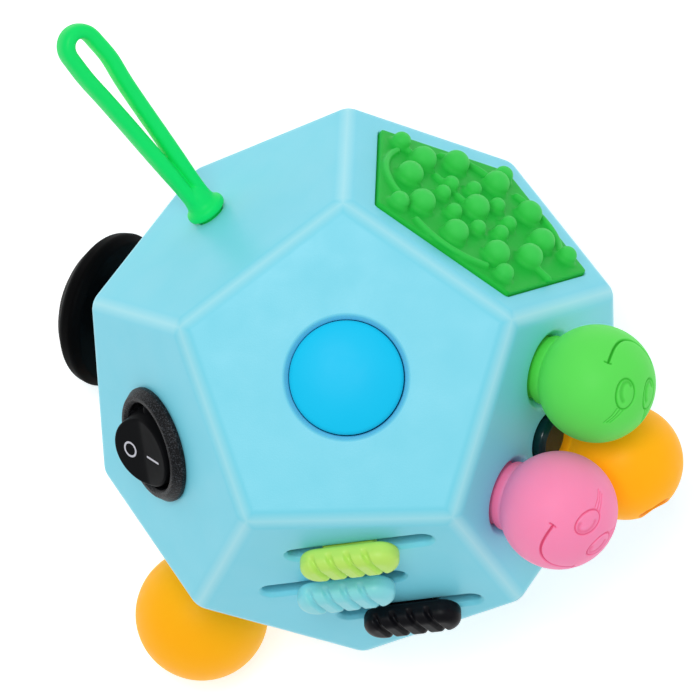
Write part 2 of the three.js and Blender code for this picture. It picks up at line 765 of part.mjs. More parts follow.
place(gearFace, 'gear_axle', carve([
  rodAlongX(1.2, 0.2 - cradle.x / 2, cradle.x / 2 - 0.2, GEAR_AXLE_DEPTH, 16),
]), steel);

for (let k = 0; k < 3; k += 1) {
  const teeth = toothed(12, GEAR_RADIUS - 1.1, GEAR_RADIUS);
  const gear = prism(teeth, -GEAR_WIDTH / 2, GEAR_WIDTH / 2).rotateY(Math.PI / 2);
  place(gearFace, `gear_${k + 1}`, carve([
    gear.translate((k - 1) * GEAR_PITCH, 0, GEAR_AXLE_DEPTH),
  ], [
    rodAlongX(1.5, -12, 12, GEAR_AXLE_DEPTH, 16),
  ]), blackPlastic);
}

// ---------------------------------------------------------------- steel roller ball

const rollerSphere = new THREE.SphereGeometry(ROLLER_RADIUS, 18, 10);
place(rollerFace, 'roller_ball', carve([rollerSphere.translate(0, 0, ROLLER_DEPTH)]), steel);

place(rollerFace, 'roller_socket', carve([revolve([
  [0, -9.8], [8.6, -9.8], [8.6, UNDER_WALL], [ROLLER_RADIUS + GAP, UNDER_WALL],
  ...arc(0, ROLLER_DEPTH, ROLLER_RADIUS + GAP, -5, -90, 5),
])]), innerPlastic);

// ---------------------------------------------------------------- back: thumb pad

place(backFace, 'thumb_pad', carve([revolve([
  [0, -3.6], [15.4, -3.6], [15.4, UNDER_WALL], [THUMB_PAD_RADIUS, UNDER_WALL],
  [THUMB_PAD_RADIUS, 0], [12.6, 0], [11, -0.9], [9, -1.3], [7, -0.9], [5.4, 0], [0, 0],
])]), darkPlastic);

export default toy;
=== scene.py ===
"""A twelve-sided fidget toy: its surfaces and finishes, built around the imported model.

Shapes are written in millimetres, in the frame of the face that carries the toy: x and y lie in
the face, z points out of it, and z = 0 is the outer skin. Meshes are stored in metres in the
model's own frame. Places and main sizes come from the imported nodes.
"""

import json
import math

import bmesh
import bpy
import numpy as np
from mathutils import Matrix, Vector
from mathutils.geometry import delaunay_2d_cdt


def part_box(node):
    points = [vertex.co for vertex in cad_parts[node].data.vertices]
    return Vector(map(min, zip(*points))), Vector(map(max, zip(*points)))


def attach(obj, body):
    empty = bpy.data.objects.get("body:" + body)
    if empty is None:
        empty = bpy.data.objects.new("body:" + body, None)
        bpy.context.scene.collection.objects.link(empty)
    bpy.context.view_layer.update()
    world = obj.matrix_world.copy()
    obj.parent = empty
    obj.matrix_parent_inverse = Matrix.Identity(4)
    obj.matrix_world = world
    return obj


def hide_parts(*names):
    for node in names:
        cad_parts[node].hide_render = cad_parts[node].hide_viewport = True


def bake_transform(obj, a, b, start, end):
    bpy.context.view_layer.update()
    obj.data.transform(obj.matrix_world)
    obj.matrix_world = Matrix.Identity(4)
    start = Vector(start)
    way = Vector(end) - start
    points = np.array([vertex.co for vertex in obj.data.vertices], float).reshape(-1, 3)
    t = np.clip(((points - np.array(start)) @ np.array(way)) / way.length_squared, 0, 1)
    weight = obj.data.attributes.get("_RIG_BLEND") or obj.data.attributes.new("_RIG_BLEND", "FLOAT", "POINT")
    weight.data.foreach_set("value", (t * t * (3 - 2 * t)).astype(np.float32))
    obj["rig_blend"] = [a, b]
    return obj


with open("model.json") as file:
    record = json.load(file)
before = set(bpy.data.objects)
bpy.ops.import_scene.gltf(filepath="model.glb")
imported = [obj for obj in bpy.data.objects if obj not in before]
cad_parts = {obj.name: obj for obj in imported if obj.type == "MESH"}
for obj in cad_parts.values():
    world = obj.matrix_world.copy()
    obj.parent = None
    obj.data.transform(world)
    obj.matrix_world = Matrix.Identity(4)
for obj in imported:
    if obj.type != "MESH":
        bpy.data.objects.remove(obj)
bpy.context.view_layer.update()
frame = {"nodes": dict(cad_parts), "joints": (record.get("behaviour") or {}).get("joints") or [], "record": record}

MM = 0.001
TAU = 2 * math.pi

# ---- the body and its face frames

INRADIUS = (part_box("front_shell")[1].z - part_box("rear_shell")[0].z) / 2 / MM
WALL = 2.0
EDGE_ROUND = 3.2                       # outside radius along the edges
FACE_TILT = math.atan(2)               # angle between neighbouring faces' normals
PENTAGON_RATIO = math.tan(FACE_TILT / 2)   # a face's inradius for a body of inradius 1
BODY_CENTRE = Vector((0, 0, INRADIUS))
FRONT, BACK = 1, -1
AZIMUTHS = {
    "pad": (54, FRONT), "lanyard": (126, FRONT), "rocker": (198, FRONT),
    "sliders": (270, FRONT), "trio": (342, FRONT),
    "gears": (18, BACK), "dial": (90, BACK), "joystick": (162, BACK),
    "bounce": (234, BACK), "roller": (306, BACK),
}


def face_matrix(normal, up):
    """Face frame to model frame, in millimetres."""
    matrix = Matrix((up.cross(normal), up, normal)).transposed().to_4x4()
    matrix.translation = BODY_CENTRE + normal * INRADIUS
    return matrix


def ring_face(azimuth, lean):
    """The faces round the front lean up, the faces round the back lean down."""
    around = math.radians(azimuth)
    outward = Vector((math.cos(around), math.sin(around), 0))
    up_axis = Vector((0, 0, 1))
    normal = outward * math.sin(FACE_TILT) + up_axis * lean * math.cos(FACE_TILT)
    up = up_axis * math.sin(FACE_TILT) - outward * lean * math.cos(FACE_TILT)
    return face_matrix(normal, up)


FACES = {name: ring_face(*place) for name, place in AZIMUTHS.items()}
FACES["button"] = face_matrix(Vector((0, 0, 1)), Vector((0, 1, 0)))
FACES["thumb"] = face_matrix(Vector((0, 0, -1)), Vector((0, 1, 0)))
FRONT_FACES = ["button"] + [name for name, (_, side) in AZIMUTHS.items() if side == FRONT]
REAR_FACES = ["thumb"] + [name for name, (_, side) in AZIMUTHS.items() if side == BACK]


def sub_frame(face, place, turn=0.0):
    """A frame inside a face: moved in the face, then turned about its normal."""
    matrix = Matrix.Translation((place[0], place[1], 0))
    return FACES[face] @ matrix @ Matrix.Rotation(math.radians(turn), 4, "Z")


def moved(points, matrix):
    m = np.array(matrix)
    return np.array(points, float) @ m[:3, :3].T + m[:3, 3]


def vertices_of(piece):
    """A piece's points in the model's millimetres."""
    return np.array([v.co for v in piece.data.vertices]) / MM


def local_box(node, matrix):
    """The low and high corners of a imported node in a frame, in millimetres."""
    points = moved(vertices_of(frame["nodes"][node]), matrix.inverted())
    return points.min(0), points.max(0)


def place_of(node, face):
    """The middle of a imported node, in its face."""
    low, high = local_box(node, FACES[face])
    return (low[:2] + high[:2]) / 2


# ---- outlines


def polar(radius, degrees):
    return radius * math.cos(math.radians(degrees)), radius * math.sin(math.radians(degrees))


def circle(radius, z, count):
    """A level loop of points about the z axis."""
    return [(*polar(radius, 360 * k / count), z) for k in range(count)]


def turned(spot, angle):
    """A flat vector turned by an angle in radians."""
    c, s = math.cos(angle), math.sin(angle)
    return np.array((c * spot[0] - s * spot[1], s * spot[0] + c * spot[1]))


def unit(vector):
    return vector / np.linalg.norm(vector)


def smooth_step(x):
    """0 below 0, 1 above 1, smooth between."""
    x = np.clip(x, 0, 1)
    return x * x * (3 - 2 * x)


def rounded(points, radius, steps=4, closed=False):
    """A line with its corners rounded. radius is one number, or one for each point."""
    points = np.array(points, float)
    radii = np.broadcast_to(radius, len(points))
    result = []
    for i, corner in enumerate(points):
        rays = [points[i - 1] - corner, points[(i + 1) % len(points)] - corner]
        lengths = [np.linalg.norm(ray) for ray in rays]
        half = math.pi / 2
        if min(lengths) > 1e-9 and radii[i] > 0 and (closed or 0 < i < len(points) - 1):
            before, after = (ray / length for ray, length in zip(rays, lengths))
            half = math.acos(np.clip(before @ after, -1, 1)) / 2
        if half > math.radians(88.5):
            result.append(corner)
            continue
        reach = min(radii[i] / math.tan(half), 0.49 * lengths[0], 0.49 * lengths[1])
        bend = reach * math.tan(half)
        centre = corner + unit(before + after) * bend / math.sin(half)
        start, end = corner + before * reach - centre, corner + after * reach - centre
        sweep = math.copysign(math.pi - 2 * half, start[0] * end[1] - start[1] * end[0])
        result += [centre + turned(start, sweep * k / steps) for k in range(steps + 1)]
    return result


def arc(centre_radius, centre_z, radius, start, end, steps):
    """Points of a circular arc, angles in degrees from the outward direction."""
    spots = [polar(radius, a) for a in np.linspace(start, end, steps + 1)]
    return [(centre_radius + x, centre_z + z) for x, z in spots]


class Opening:
    """A convex outline with round corners that can be drawn at any offset."""

    def __init__(self, centres, radius, place=(0, 0), turn=0.0, points=48):
        self.centres = np.array(centres, float)
        self.sides = np.roll(self.centres, -1, 0) - self.centres
        self.radius = radius
        self.place = np.array(place, float)
        self.turn = math.radians(turn)
        self.per_corner = max(3, points // len(centres))

    def loop(self, offset=0.0):
        result = []
        for i, centre in enumerate(self.centres):
            if len(self.centres) == 1:
                angles = np.arange(self.per_corner) * TAU / self.per_corner
            else:
                start, end = (math.atan2(-x, y) for x, y in (self.sides[i - 1], self.sides[i]))
                angles = np.linspace(start, start + (end - start) % TAU, self.per_corner)
            spots = [centre + turned((self.radius + offset, 0), a) for a in angles]
            result += [self.place + turned(spot, self.turn) for spot in spots]
        return result

    def holds(self, point, margin=0.0):
        """True for a point inside the outline grown by a margin."""
        away = turned(point - self.place, -self.turn) - self.centres
        along = np.maximum((self.sides ** 2).sum(1), 1e-9)
        share = np.clip((away * self.sides).sum(1) / along, 0, 1)
        nearest = np.linalg.norm(away - share[:, None] * self.sides, axis=1).min()
        inside = self.sides[:, 0] * away[:, 1] - self.sides[:, 1] * away[:, 0] > 0
        return len(self.centres) > 2 and inside.all() or nearest < self.radius + margin


def pentagon(circumradius, first_angle):
    return [np.array(polar(circumradius, first_angle + 72 * k)) for k in range(5)]


def fill(outline, openings=(), spacing=3.0, margin=0.8):
    """Triangles over an outline with openings left out. Returns points and triangles."""
    points, faces = [], []
    for loop in [outline] + [loop for loop, _ in openings]:
        faces.append(list(range(len(points), len(points) + len(loop))))
        points += [Vector((float(x), float(y))) for x, y in loop]
    corners = np.array(outline)
    sides = np.roll(corners, -1, 0) - corners
    steps = int(max(p.length for p in points) / spacing) + 1
    for i in range(-steps, steps + 1):
        for j in range(-steps, steps + 1):
            spot = np.array(((i + 0.5 * (j % 2)) * spacing, j * spacing * 0.866))
            away = spot - corners
            depth = sides[:, 0] * away[:, 1] - sides[:, 1] * away[:, 0]
            depth = (depth / np.linalg.norm(sides, axis=1)).min()
            if depth > margin and not any(opening.holds(spot, offset + margin)
                                          for _, (opening, offset) in openings):
                points.append(Vector(spot))
    made, _, triangles, _, _, origins = delaunay_2d_cdt(points, [], faces, 1, 1e-7)
    kept = [t for t, origin in zip(triangles, origins) if list(origin) == [0]]
    return [(p.x, p.y) for p in made], kept


# ---- meshes


class Mesh:
    """Vertices and faces gathered before they become one object."""

    def __init__(self):
        self.points = []
        self.faces = []

    def add(self, points, faces):
        first = len(self.points)
        self.points += [tuple(p) for p in points]
        self.faces += [[first + i for i in face] for face in faces]
        return first

    def loft(self, loops, closed_loops=True, ring=False, ends=()):
        """Quads between loops of equal length. ring joins the last loop to the first, and ends
        lists the loops that a flat face closes."""
        count = len(loops[0])
        first = self.add([p for loop in loops for p in loop], [])
        for a in range(len(loops) if ring else len(loops) - 1):
            low, high = first + a * count, first + ((a + 1) % len(loops)) * count
            for k in range(count if closed_loops else count - 1):
                n = (k + 1) % count
                self.faces.append([low + k, low + n, high + n, high + k])
        for end in ends:
            start = first + (end % len(loops)) * count
            self.faces.append(list(range(start, start + count)))


def lathe(profile, segments=96, closed=False):
    """A surface of revolution about z. A profile that isn't closed starts and ends on the axis."""
    mesh = Mesh()
    loops = [circle(r, z, segments) for r, z in profile if r > 1e-6]
    mesh.loft(loops, ring=closed)
    if not closed:
        for base, (_, z), order in ((0, profile[0], -1),
                                    ((len(loops) - 1) * segments, profile[-1], 1)):
            tip = mesh.add([(0, 0, z)], [])
            for k in range(segments):
                mesh.faces.append([tip] + [base + k, base + (k + 1) % segments][::order])
    return mesh


def clean(data, merge, rework=None):
    """Joins points closer than merge millimetres, reworks the mesh, and faces it outwards."""
    bm = bmesh.new()
    bm.from_mesh(data)
    bmesh.ops.remove_doubles(bm, verts=bm.verts, dist=merge * MM)
    if rework:
        rework(bm)
    bmesh.ops.recalc_face_normals(bm, faces=bm.faces)
    bm.to_mesh(data)
    bm.free()


def build(name, mesh, matrix, body, material, replaces=(), slot=None, merge=2e-4, **shading):
    """Turns gathered geometry, in the millimetres of a frame, into a piece of the model."""
    data = bpy.data.meshes.new(name)
    data.from_pydata((moved(mesh.points, matrix) * MM).tolist(), [], mesh.faces)
    clean(data, merge)
    return finish_piece(name, data, body, material, replaces, slot, **shading)


def linked(name, data):
    thing = bpy.data.objects.new(name, data)
    bpy.context.scene.collection.objects.link(thing)
    return thing


def finish_piece(name, data, body, material, replaces=(), slot=None, sharp=38, weighted=True):
    """Shades a mesh, gives it its finish, and says what it rides on and stands for."""
    piece = linked(name, data)
    data.shade_smooth()
    if sharp:
        data.set_sharp_from_angle(angle=math.radians(sharp))
    if weighted:
        normals = piece.modifiers.new("even_normals", "WEIGHTED_NORMAL")
        normals.mode = "FACE_AREA"
        normals.weight = 100
        normals.keep_sharp = True
    data.materials.append(material)
    if body:
        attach(piece, body)
    if replaces:
        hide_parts(*replaces)
    return piece


def set_attribute(data, name, values):
    data.attributes.new(name, "FLOAT", "POINT").data.foreach_set("value", values)


# ---- camera

CAMERA_BACK = Vector((0.0413, -0.0251, 0.9988)).normalized()
CAMERA_UP = Vector((0.02195, 0.99947, 0.02418))
CAMERA_SPOT = Vector((26.1, -12.0, 648.1))
CAMERA_LENS = 248.3


def add_camera():
    data = bpy.data.cameras.new("camera")
    data.lens = CAMERA_LENS
    data.clip_start, data.clip_end = 0.01, 20
    camera = linked("camera", data)
    side = CAMERA_UP.cross(CAMERA_BACK).normalized()
    up = CAMERA_BACK.cross(side)
    matrix = Matrix((side, up, CAMERA_BACK)).transposed().to_4x4()
    matrix.translation = (BODY_CENTRE + CAMERA_SPOT) * MM
    camera.matrix_world = matrix
    bpy.context.scene.camera = camera


add_camera()

# ---- finishes


def srgb(red, green, blue):
    """A colour given as it looks on a screen, 0 to 255, as scene-linear values."""
    shares = [value / 255 for value in (red, green, blue)]
    return (*(v / 12.92 if v <= 0.04045 else ((v + 0.055) / 1.055) ** 2.4 for v in shares), 1.0)


def shade(colour, amount):
    return tuple(min(1.0, c * amount) for c in colour[:3]) + (1.0,)


def groove_shade_colour(colour):
    """A darker, stronger version of a colour: the painted shade for the bottoms of grooves."""
    return tuple(0.72 * c ** 1.6 for c in colour[:3]) + (1.0,)


class Finish:
    """A material made of nodes, with a Principled shader that the methods feed."""

    def __init__(self, name, **sockets):
        self.material = bpy.data.materials.new(name)
        self.material.use_nodes = True
        self.tree = self.material.node_tree
        self.tree.nodes.clear()
        self.shader = self.node("ShaderNodeBsdfPrincipled")
        self.link(self.shader.outputs["BSDF"], self.node("ShaderNodeOutputMaterial"), "Surface")
        self.set(self.shader, **sockets)
        self.coordinates = self.node("ShaderNodeTexCoord").outputs["Object"]
        self.relief = None

    def node(self, kind, **values):
        made = self.tree.nodes.new(kind)
        for key, value in values.items():
            setattr(made, key, value)
        return made

    def set(self, node, **sockets):
        for key, value in sockets.items():
            node.inputs[key.replace("_", " ")].default_value = value

    def link(self, source, node, key):
        self.tree.links.new(source, node.inputs[key])

    def noise(self, size, detail=2.0, distortion=0.0):
        """A noise whose blobs are about size millimetres across."""
        made = self.node("ShaderNodeTexNoise")
        self.set(made, Scale=1 / (size * MM), Detail=detail, Distortion=distortion)
        self.link(self.coordinates, made, "Vector")
        return made.outputs["Fac"]

    def spread(self, value, low, high, from_low=0.3, from_high=0.7):
        made = self.node("ShaderNodeMapRange")
        self.set(made, From_Min=from_low, From_Max=from_high, To_Min=low, To_Max=high)
        self.link(value, made, "Value")
        return made.outputs["Result"]

    def mix(self, factor, first, second):
        """Colours or sockets mixed by a socket."""
        made = self.node("ShaderNodeMix", data_type="RGBA")
        self.link(factor, made, "Factor")
        for index, value in ((6, first), (7, second)):     # the colour sockets A and B
            if isinstance(value, tuple):
                made.inputs[index].default_value = value
            else:
                self.link(value, made, index)
        return made.outputs[2]

    def attribute(self, name):
        return self.node("ShaderNodeAttribute", attribute_name=name).outputs["Fac"]

    def colour(self, source):
        self.link(source, self.shader, "Base Color")

    def roughness(self, source):
        self.link(source, self.shader, "Roughness")

    def bump(self, value, height, strength=1.0):
        """Adds relief, height in millimetres. Later calls add to earlier ones."""
        made = self.node("ShaderNodeBump")
        self.set(made, Strength=strength, Distance=height * MM)
        self.link(value, made, "Height")
        if self.relief is not None:
            self.link(self.relief, made, "Normal")
        self.relief = made.outputs["Normal"]
        self.link(self.relief, self.shader, "Normal")


def plastic(name, colour, gloss=0.4, grain=0.02, shine=0.3, glint_specks=None):
    """Moulded plastic: a fine spark texture, slow drifts of tone and gloss, and, if asked for, pale specks
    painted into the colour as glints of light on a rough grain. Blacks shine little, to stay black in a bright
    room."""
    made = Finish(name, Specular_IOR_Level=shine)
    tone = made.mix(made.noise(9, 3), shade(colour, 0.97), shade(colour, 1.03))
    if glint_specks:
        # painted glints: pale specks in the colour
        tone = made.mix(made.spread(made.noise(0.16, 1), 0, 1, 0.52, 0.82), tone, glint_specks)
    made.colour(tone)
    made.roughness(made.spread(made.noise(4.5, 4, 0.4), gloss - 0.05, gloss + 0.07))
    made.bump(made.noise(0.28, 3), grain)
    made.bump(made.noise(14, 2), 0.05, 0.35)
    return made.material


def body_plastic():
    """The body's blue plastic: a painted highlight makes its colour lighter along the rounded edges, where it is
    also a little smoother, as if polished by hands.
    """
    colour = srgb(124, 222, 243)
    made = Finish("body_plastic", Specular_IOR_Level=0.3)
    edge_highlight_and_polish = made.attribute("edge")
    drift = made.mix(made.noise(11, 3), shade(colour, 0.99), shade(colour, 1.01))
    # painted highlight: the colour turns lighter along the rounded edges
    made.colour(made.mix(made.spread(edge_highlight_and_polish, 0.0, 0.6, 0.3, 1.0), drift, srgb(186, 243, 252)))
    less = made.node("ShaderNodeMath", operation="SUBTRACT")
    made.link(made.spread(made.noise(5, 4, 0.3), 0.36, 0.46), less, 0)
    made.link(made.spread(edge_highlight_and_polish, 0.0, 0.08, 0.1, 1.0), less, 1)
    made.roughness(less.outputs["Value"])
    made.bump(made.noise(0.25, 3), 0.012)
    made.bump(made.noise(16, 2), 0.02, 0.3)
    return made.material


def silicone(name, colour, gloss=0.46, glow=0.3, spread=(1.2, 1.2, 1.2), crest_highlight=None, lift=0.1):
    """Soft silicone: light spreads under the skin; painted shade darkens the grooves, a painted highlight lightens
    the crests, and a faint emission paints a glow over the whole colour.
    """
    made = Finish(
        name, Subsurface_Weight=glow, Subsurface_Scale=1.2 * MM, Subsurface_Radius=spread,
        # painted glow: the silicone emits a little light in its own colour
        IOR=1.42, Specular_IOR_Level=0.14, Emission_Color=colour, Emission_Strength=lift,
    )
    tone = made.mix(made.noise(6, 3), shade(colour, 0.965), shade(colour, 1.03))
    # painted shade: grooves and necks take a darker colour where shadow would fall
    tone = made.mix(made.attribute("groove_shade"), tone, groove_shade_colour(colour))
    # painted highlight: crests take a paler colour
    made.colour(made.mix(made.attribute("crest_highlight"), tone, crest_highlight or colour))
    made.roughness(made.spread(made.noise(3, 4, 0.6), gloss - 0.05, gloss + 0.08))
    made.bump(made.noise(0.35, 2), 0.008)
    made.bump(made.noise(5, 2), 0.05, 0.4)
    return made.material


def turned_steel():
    """Steel with fine scratches and a faint grey bloom."""
    colour = srgb(200, 203, 208)
    made = Finish("steel", Metallic=1.0)
    made.colour(made.mix(made.noise(2.5, 4), shade(colour, 0.97), shade(colour, 1.02)))
    made.roughness(made.spread(made.noise(0.8, 5, 1.5), 0.19, 0.27))
    made.bump(made.noise(0.12, 4, 2.0), 0.0012, 0.5)
    return made.material


MATERIALS = {
    "body": body_plastic(),
    "steel": turned_steel(),
    "button": plastic("button_plastic", srgb(14, 206, 255), 0.42, 0.006, 0.16),
    "slider_lime": plastic("lime_plastic", srgb(194, 240, 106), 0.36, 0.01),
    "slider_aqua": plastic("aqua_plastic", srgb(142, 226, 236), 0.36, 0.01),
    "inner_plastic": plastic("inner_plastic", srgb(205, 208, 210), 0.5),
    "dark_plastic": plastic("dark_plastic", srgb(18, 50, 52), 0.5),
    "hub": plastic("hub_plastic", srgb(6, 44, 46), 0.2, 0.004),
    "mark": plastic("mark_paint", srgb(205, 206, 216), 0.5, 0.01),
    "black_plastic": plastic("black_plastic", srgb(20, 20, 22), 0.34, 0.012, 0.1),
    "cap_black": plastic("cap_black_plastic", srgb(16, 16, 20), 0.36, 0.008, 0.1),
    "gloss_black": plastic("gloss_black_plastic", srgb(17, 18, 20), 0.38, 0.003, 0.02),
    # the rocker's bezel: pale specks painted in as glints
    "black_spark": plastic("black_spark_plastic", srgb(14, 14, 16), 0.42, 0.1, 0.16,
                           srgb(84, 88, 94)),
    "black_rubber": plastic("black_rubber", srgb(5, 5, 6), 0.55, 0.01, 0.03),
    "thumb": silicone("thumb_rubber", srgb(24, 56, 60), 0.55, 0.0),
    # the pad's crests get a paler colour, a painted highlight
    "pad": silicone("pad_silicone", srgb(30, 180, 60), 0.5, 0.2, crest_highlight=srgb(68, 206, 90)),
    "lanyard": silicone("lanyard_silicone", srgb(20, 224, 106), 0.38, 0.12),
    "ball_green": silicone("ball_green_silicone", srgb(98, 224, 92), spread=(0.6, 1.5, 0.6)),
    "ball_pink": silicone("ball_pink_silicone", srgb(255, 142, 184), spread=(1.8, 0.7, 0.8)),
    # the amber silicone gets a stronger painted glow
    "ball_amber": silicone("ball_amber_silicone", srgb(255, 174, 18), spread=(1.6, 1.0, 0.4),
                           lift=0.21),
}

# ---- the two shells

ROUND_STEPS = 6                        # facets across half of a rounded edge
EDGE_STEPS = 8                         # lengths along an edge
CORE = INRADIUS - EDGE_ROUND
SEAM_HALF_GAP = 0.07
SEAM_CHAMFER = 0.14


def slerp(a, b, share):
    angle = math.acos(np.clip(a @ b, -1, 1))
    if angle < 1e-9:
        return a
    return (math.sin((1 - share) * angle) * a + math.sin(share * angle) * b) / math.sin(angle)


def tilted(angle_in_face, tilt):
    return np.array((*polar(math.sin(tilt), angle_in_face), math.cos(tilt)))


def first_corner(face):
    """Where a face's first corner lies, in degrees in the face."""
    return 90 if face == "button" or face in REAR_FACES[1:] else 54


def face_corners(inradius, face):
    return pentagon(inradius * PENTAGON_RATIO / math.cos(math.pi / 5), first_corner(face))


def add_edges_and_corners(mesh, rims, face):
    """The rounded edges and corners round one face, up to the middle of each rounding."""
    lift = np.array((0, 0, 1.0))
    half = FACE_TILT / 2
    corners = face_corners(CORE, face)
    for k in range(5):
        here, there = (np.append(corners[i], 0) for i in (k, (k + 1) % 5))
        middle = first_corner(face) + 72 * k + 36
        tip = unit(lift + tilted(middle - 72, FACE_TILT) + tilted(middle, FACE_TILT))
        edge_rows, corner_rows = [], []
        for i in range(ROUND_STEPS + 1):
            share = i / ROUND_STEPS
            bend = EDGE_ROUND * (tilted(middle, half * share) - lift)
            edge_rows.append([here + (there - here) * j / EDGE_STEPS + bend
                              for j in range(EDGE_STEPS + 1)])
            rims += [share] * (EDGE_STEPS + 1)
            start = slerp(lift, tilted(middle - 72, half), share)
            end = slerp(tilted(middle, half), tip, share)
            corner_rows.append([here + EDGE_ROUND * (slerp(start, end, j / ROUND_STEPS) - lift)
                                for j in range(ROUND_STEPS + 1)])
        mesh.loft(edge_rows, closed_loops=False)
        rims += [max(i, j) / ROUND_STEPS for i in range(ROUND_STEPS + 1)
                 for j in range(ROUND_STEPS + 1)]
        mesh.loft(corner_rows, closed_loops=False)


def face_outline(inradius, face, steps):
    """A face's outline with each side divided evenly."""
    corners = face_corners(inradius, face)
    return [here + (there - here) * share for here, there in zip(corners, corners[1:] + corners)
            for share in np.linspace(0, 1, steps + 1)[:-1]]


def add_face(mesh, rims, face):
    """One face's flat skin, inner skin and the walls of its holes."""
    mouths, floors = [], []
    for opening, profile in HOLES[face]:
        mesh.loft([[(x, y, z) for x, y in opening.loop(offset)] for offset, z in profile])
        (first, _), (last, last_z) = profile[0], profile[-1]
        mouths.append((opening.loop(first), (opening, first)))
        if last_z > 0.01 - WALL:
            points, faces = fill(opening.loop(last))
            mesh.add([(x, y, last_z) for x, y in points], faces)
        else:
            floors.append((opening.loop(last), (opening, last)))
    outer = face_outline(CORE, face, EDGE_STEPS)
    inner = face_outline(INRADIUS - WALL, face, EDGE_STEPS + 2 * ROUND_STEPS)
    for outline, openings, z in ((outer, mouths, 0.0), (inner, floors, -WALL)):
        points, faces = fill(outline, openings)
        mesh.add([(x, y, z) for x, y in points], faces)
    rims += [0.0] * (len(mesh.points) - len(rims))


def seam_planes(own_faces, other_faces):
    """For each edge on the seam: the plane's normal towards the own side, and its middle."""
    normals = [[np.array(FACES[f].to_3x3().col[2]) for f in faces]
               for faces in (own_faces, other_faces)]
    return [(unit(a - b), unit(a + b)) for a in normals[0] for b in normals[1] if a @ b > 0.4]


def off_seam(point, planes, distance):
    """The shift that takes a point of the seam to a distance from each plane that it lies on."""
    spot = np.array(point) / MM - np.array(BODY_CENTRE)
    reach = math.cos(math.atan(math.sin(FACE_TILT / 2) * math.tan(math.pi / 5)))
    normals = np.array([n for n, middle in planes
                        if abs(spot @ n) < 0.02 and unit(spot) @ middle > reach - 2e-3])
    return Vector(np.linalg.lstsq(normals, np.full(len(normals), distance), rcond=None)[0] * MM)


def close_seam(bm, planes):
    """Pulls the open rim back from the seam, breaks its edge and joins outer skin to inner skin."""
    outward = bm.verts.layers.float["edge"]
    rim = [e for e in bm.edges if e.is_boundary]
    outer = [e for e in rim if e.verts[0][outward] > 0.5]
    inner = [e for e in rim if e.verts[0][outward] <= 0.5]
    places = {v: v.co.copy() for e in rim for v in e.verts}
    outer_verts = {v for e in outer for v in e.verts}
    made = bmesh.ops.extrude_edge_only(bm, edges=outer)["geom"]
    copies = [g for g in made if isinstance(g, bmesh.types.BMVert)]
    copy_edges = [g for g in made if isinstance(g, bmesh.types.BMEdge) and g.is_boundary]
    for vert in copies:
        inward = (BODY_CENTRE * MM - vert.co).normalized() * SEAM_CHAMFER * MM
        vert.co += off_seam(vert.co, planes, SEAM_HALF_GAP) + inward
    for vert, spot in places.items():
        distance = SEAM_HALF_GAP + (SEAM_CHAMFER if vert in outer_verts else 0)
        vert.co += off_seam(spot, planes, distance)
    bmesh.ops.bridge_loops(bm, edges=copy_edges + inner)


def shell(node, own_faces, other_faces):
    mesh, rims = Mesh(), []
    for face in own_faces:
        local, local_rims = Mesh(), []
        add_edges_and_corners(local, local_rims, face)
        add_face(local, local_rims, face)
        mesh.add(moved(local.points, FACES[face]), local.faces)
        rims += local_rims
    data = bpy.data.meshes.new(node + "_skin")
    data.from_pydata((np.array(mesh.points) * MM).tolist(), [], mesh.faces)
    set_attribute(data, "edge", rims)
    planes = seam_planes(own_faces, other_faces)
    clean(data, 1e-3, lambda bm: close_seam(bm, planes))
    finish_piece(node + "_skin", data, "root", MATERIALS["body"], [node], "body", 32)


# Places and sizes that the shells share with the toys.
BUTTON_RADIUS = 7.35
THUMB_RADIUS = 14.0
PAD_PLACE = (-0.57, 0.3)
PAD_CORNER_ROUND = 0.5
PAD_CENTRES = pentagon(17.4 - PAD_CORNER_ROUND / math.cos(math.pi / 5), 54)
LANYARD_PLACE = place_of("lanyard_collar", "lanyard")
ROCKER_PLACE = place_of("rocker_housing", "rocker")
TRIO_PLACES = {c: place_of("ball_" + c, "trio") for c in ("green", "pink", "amber")}
TRIO_CENTRE = place_of("ball_retainer", "trio")
NECK = 4.1                             # radius of every ball's neck inside the wall
NECK_HOLE = NECK + 0.3
SLIDER_TURN = 13.2
SLIDER_NAMES = ("lime", "aqua", "black")
SLOT_RADIUS = 1.4
SLOT_REACH = 9.7 - SLOT_RADIUS
GEAR_CORNERS = [(6.3, 5.7), (-6.3, 5.7), (-6.3, -5.7), (6.3, -5.7)]


def slot_place(name):
    """A slot's middle: the slider's own place, moved to the middle of its travel."""
    joint = next(j for j in frame["joints"] if j["name"] == f"slider_{name}_slide")
    middle = sum(joint["range_m"]) / 2 / MM
    return place_of("slider_" + name, "sliders") + np.array(polar(middle, SLIDER_TURN))


def lip(width, depth=None, softness=None, floor=-WALL):
    """A hole's wall: a soft lip of that width and depth, then straight down."""
    line = [(width + 3, 0), (width, 0), (0, -(depth or width)), (0, floor)]
    return rounded(line, [0, softness or width, softness or width, 0], 5)[1:]


def round_hole(radius, wall, place=(0, 0), points=64):
    return Opening([(0, 0)], radius, place, points=points), wall


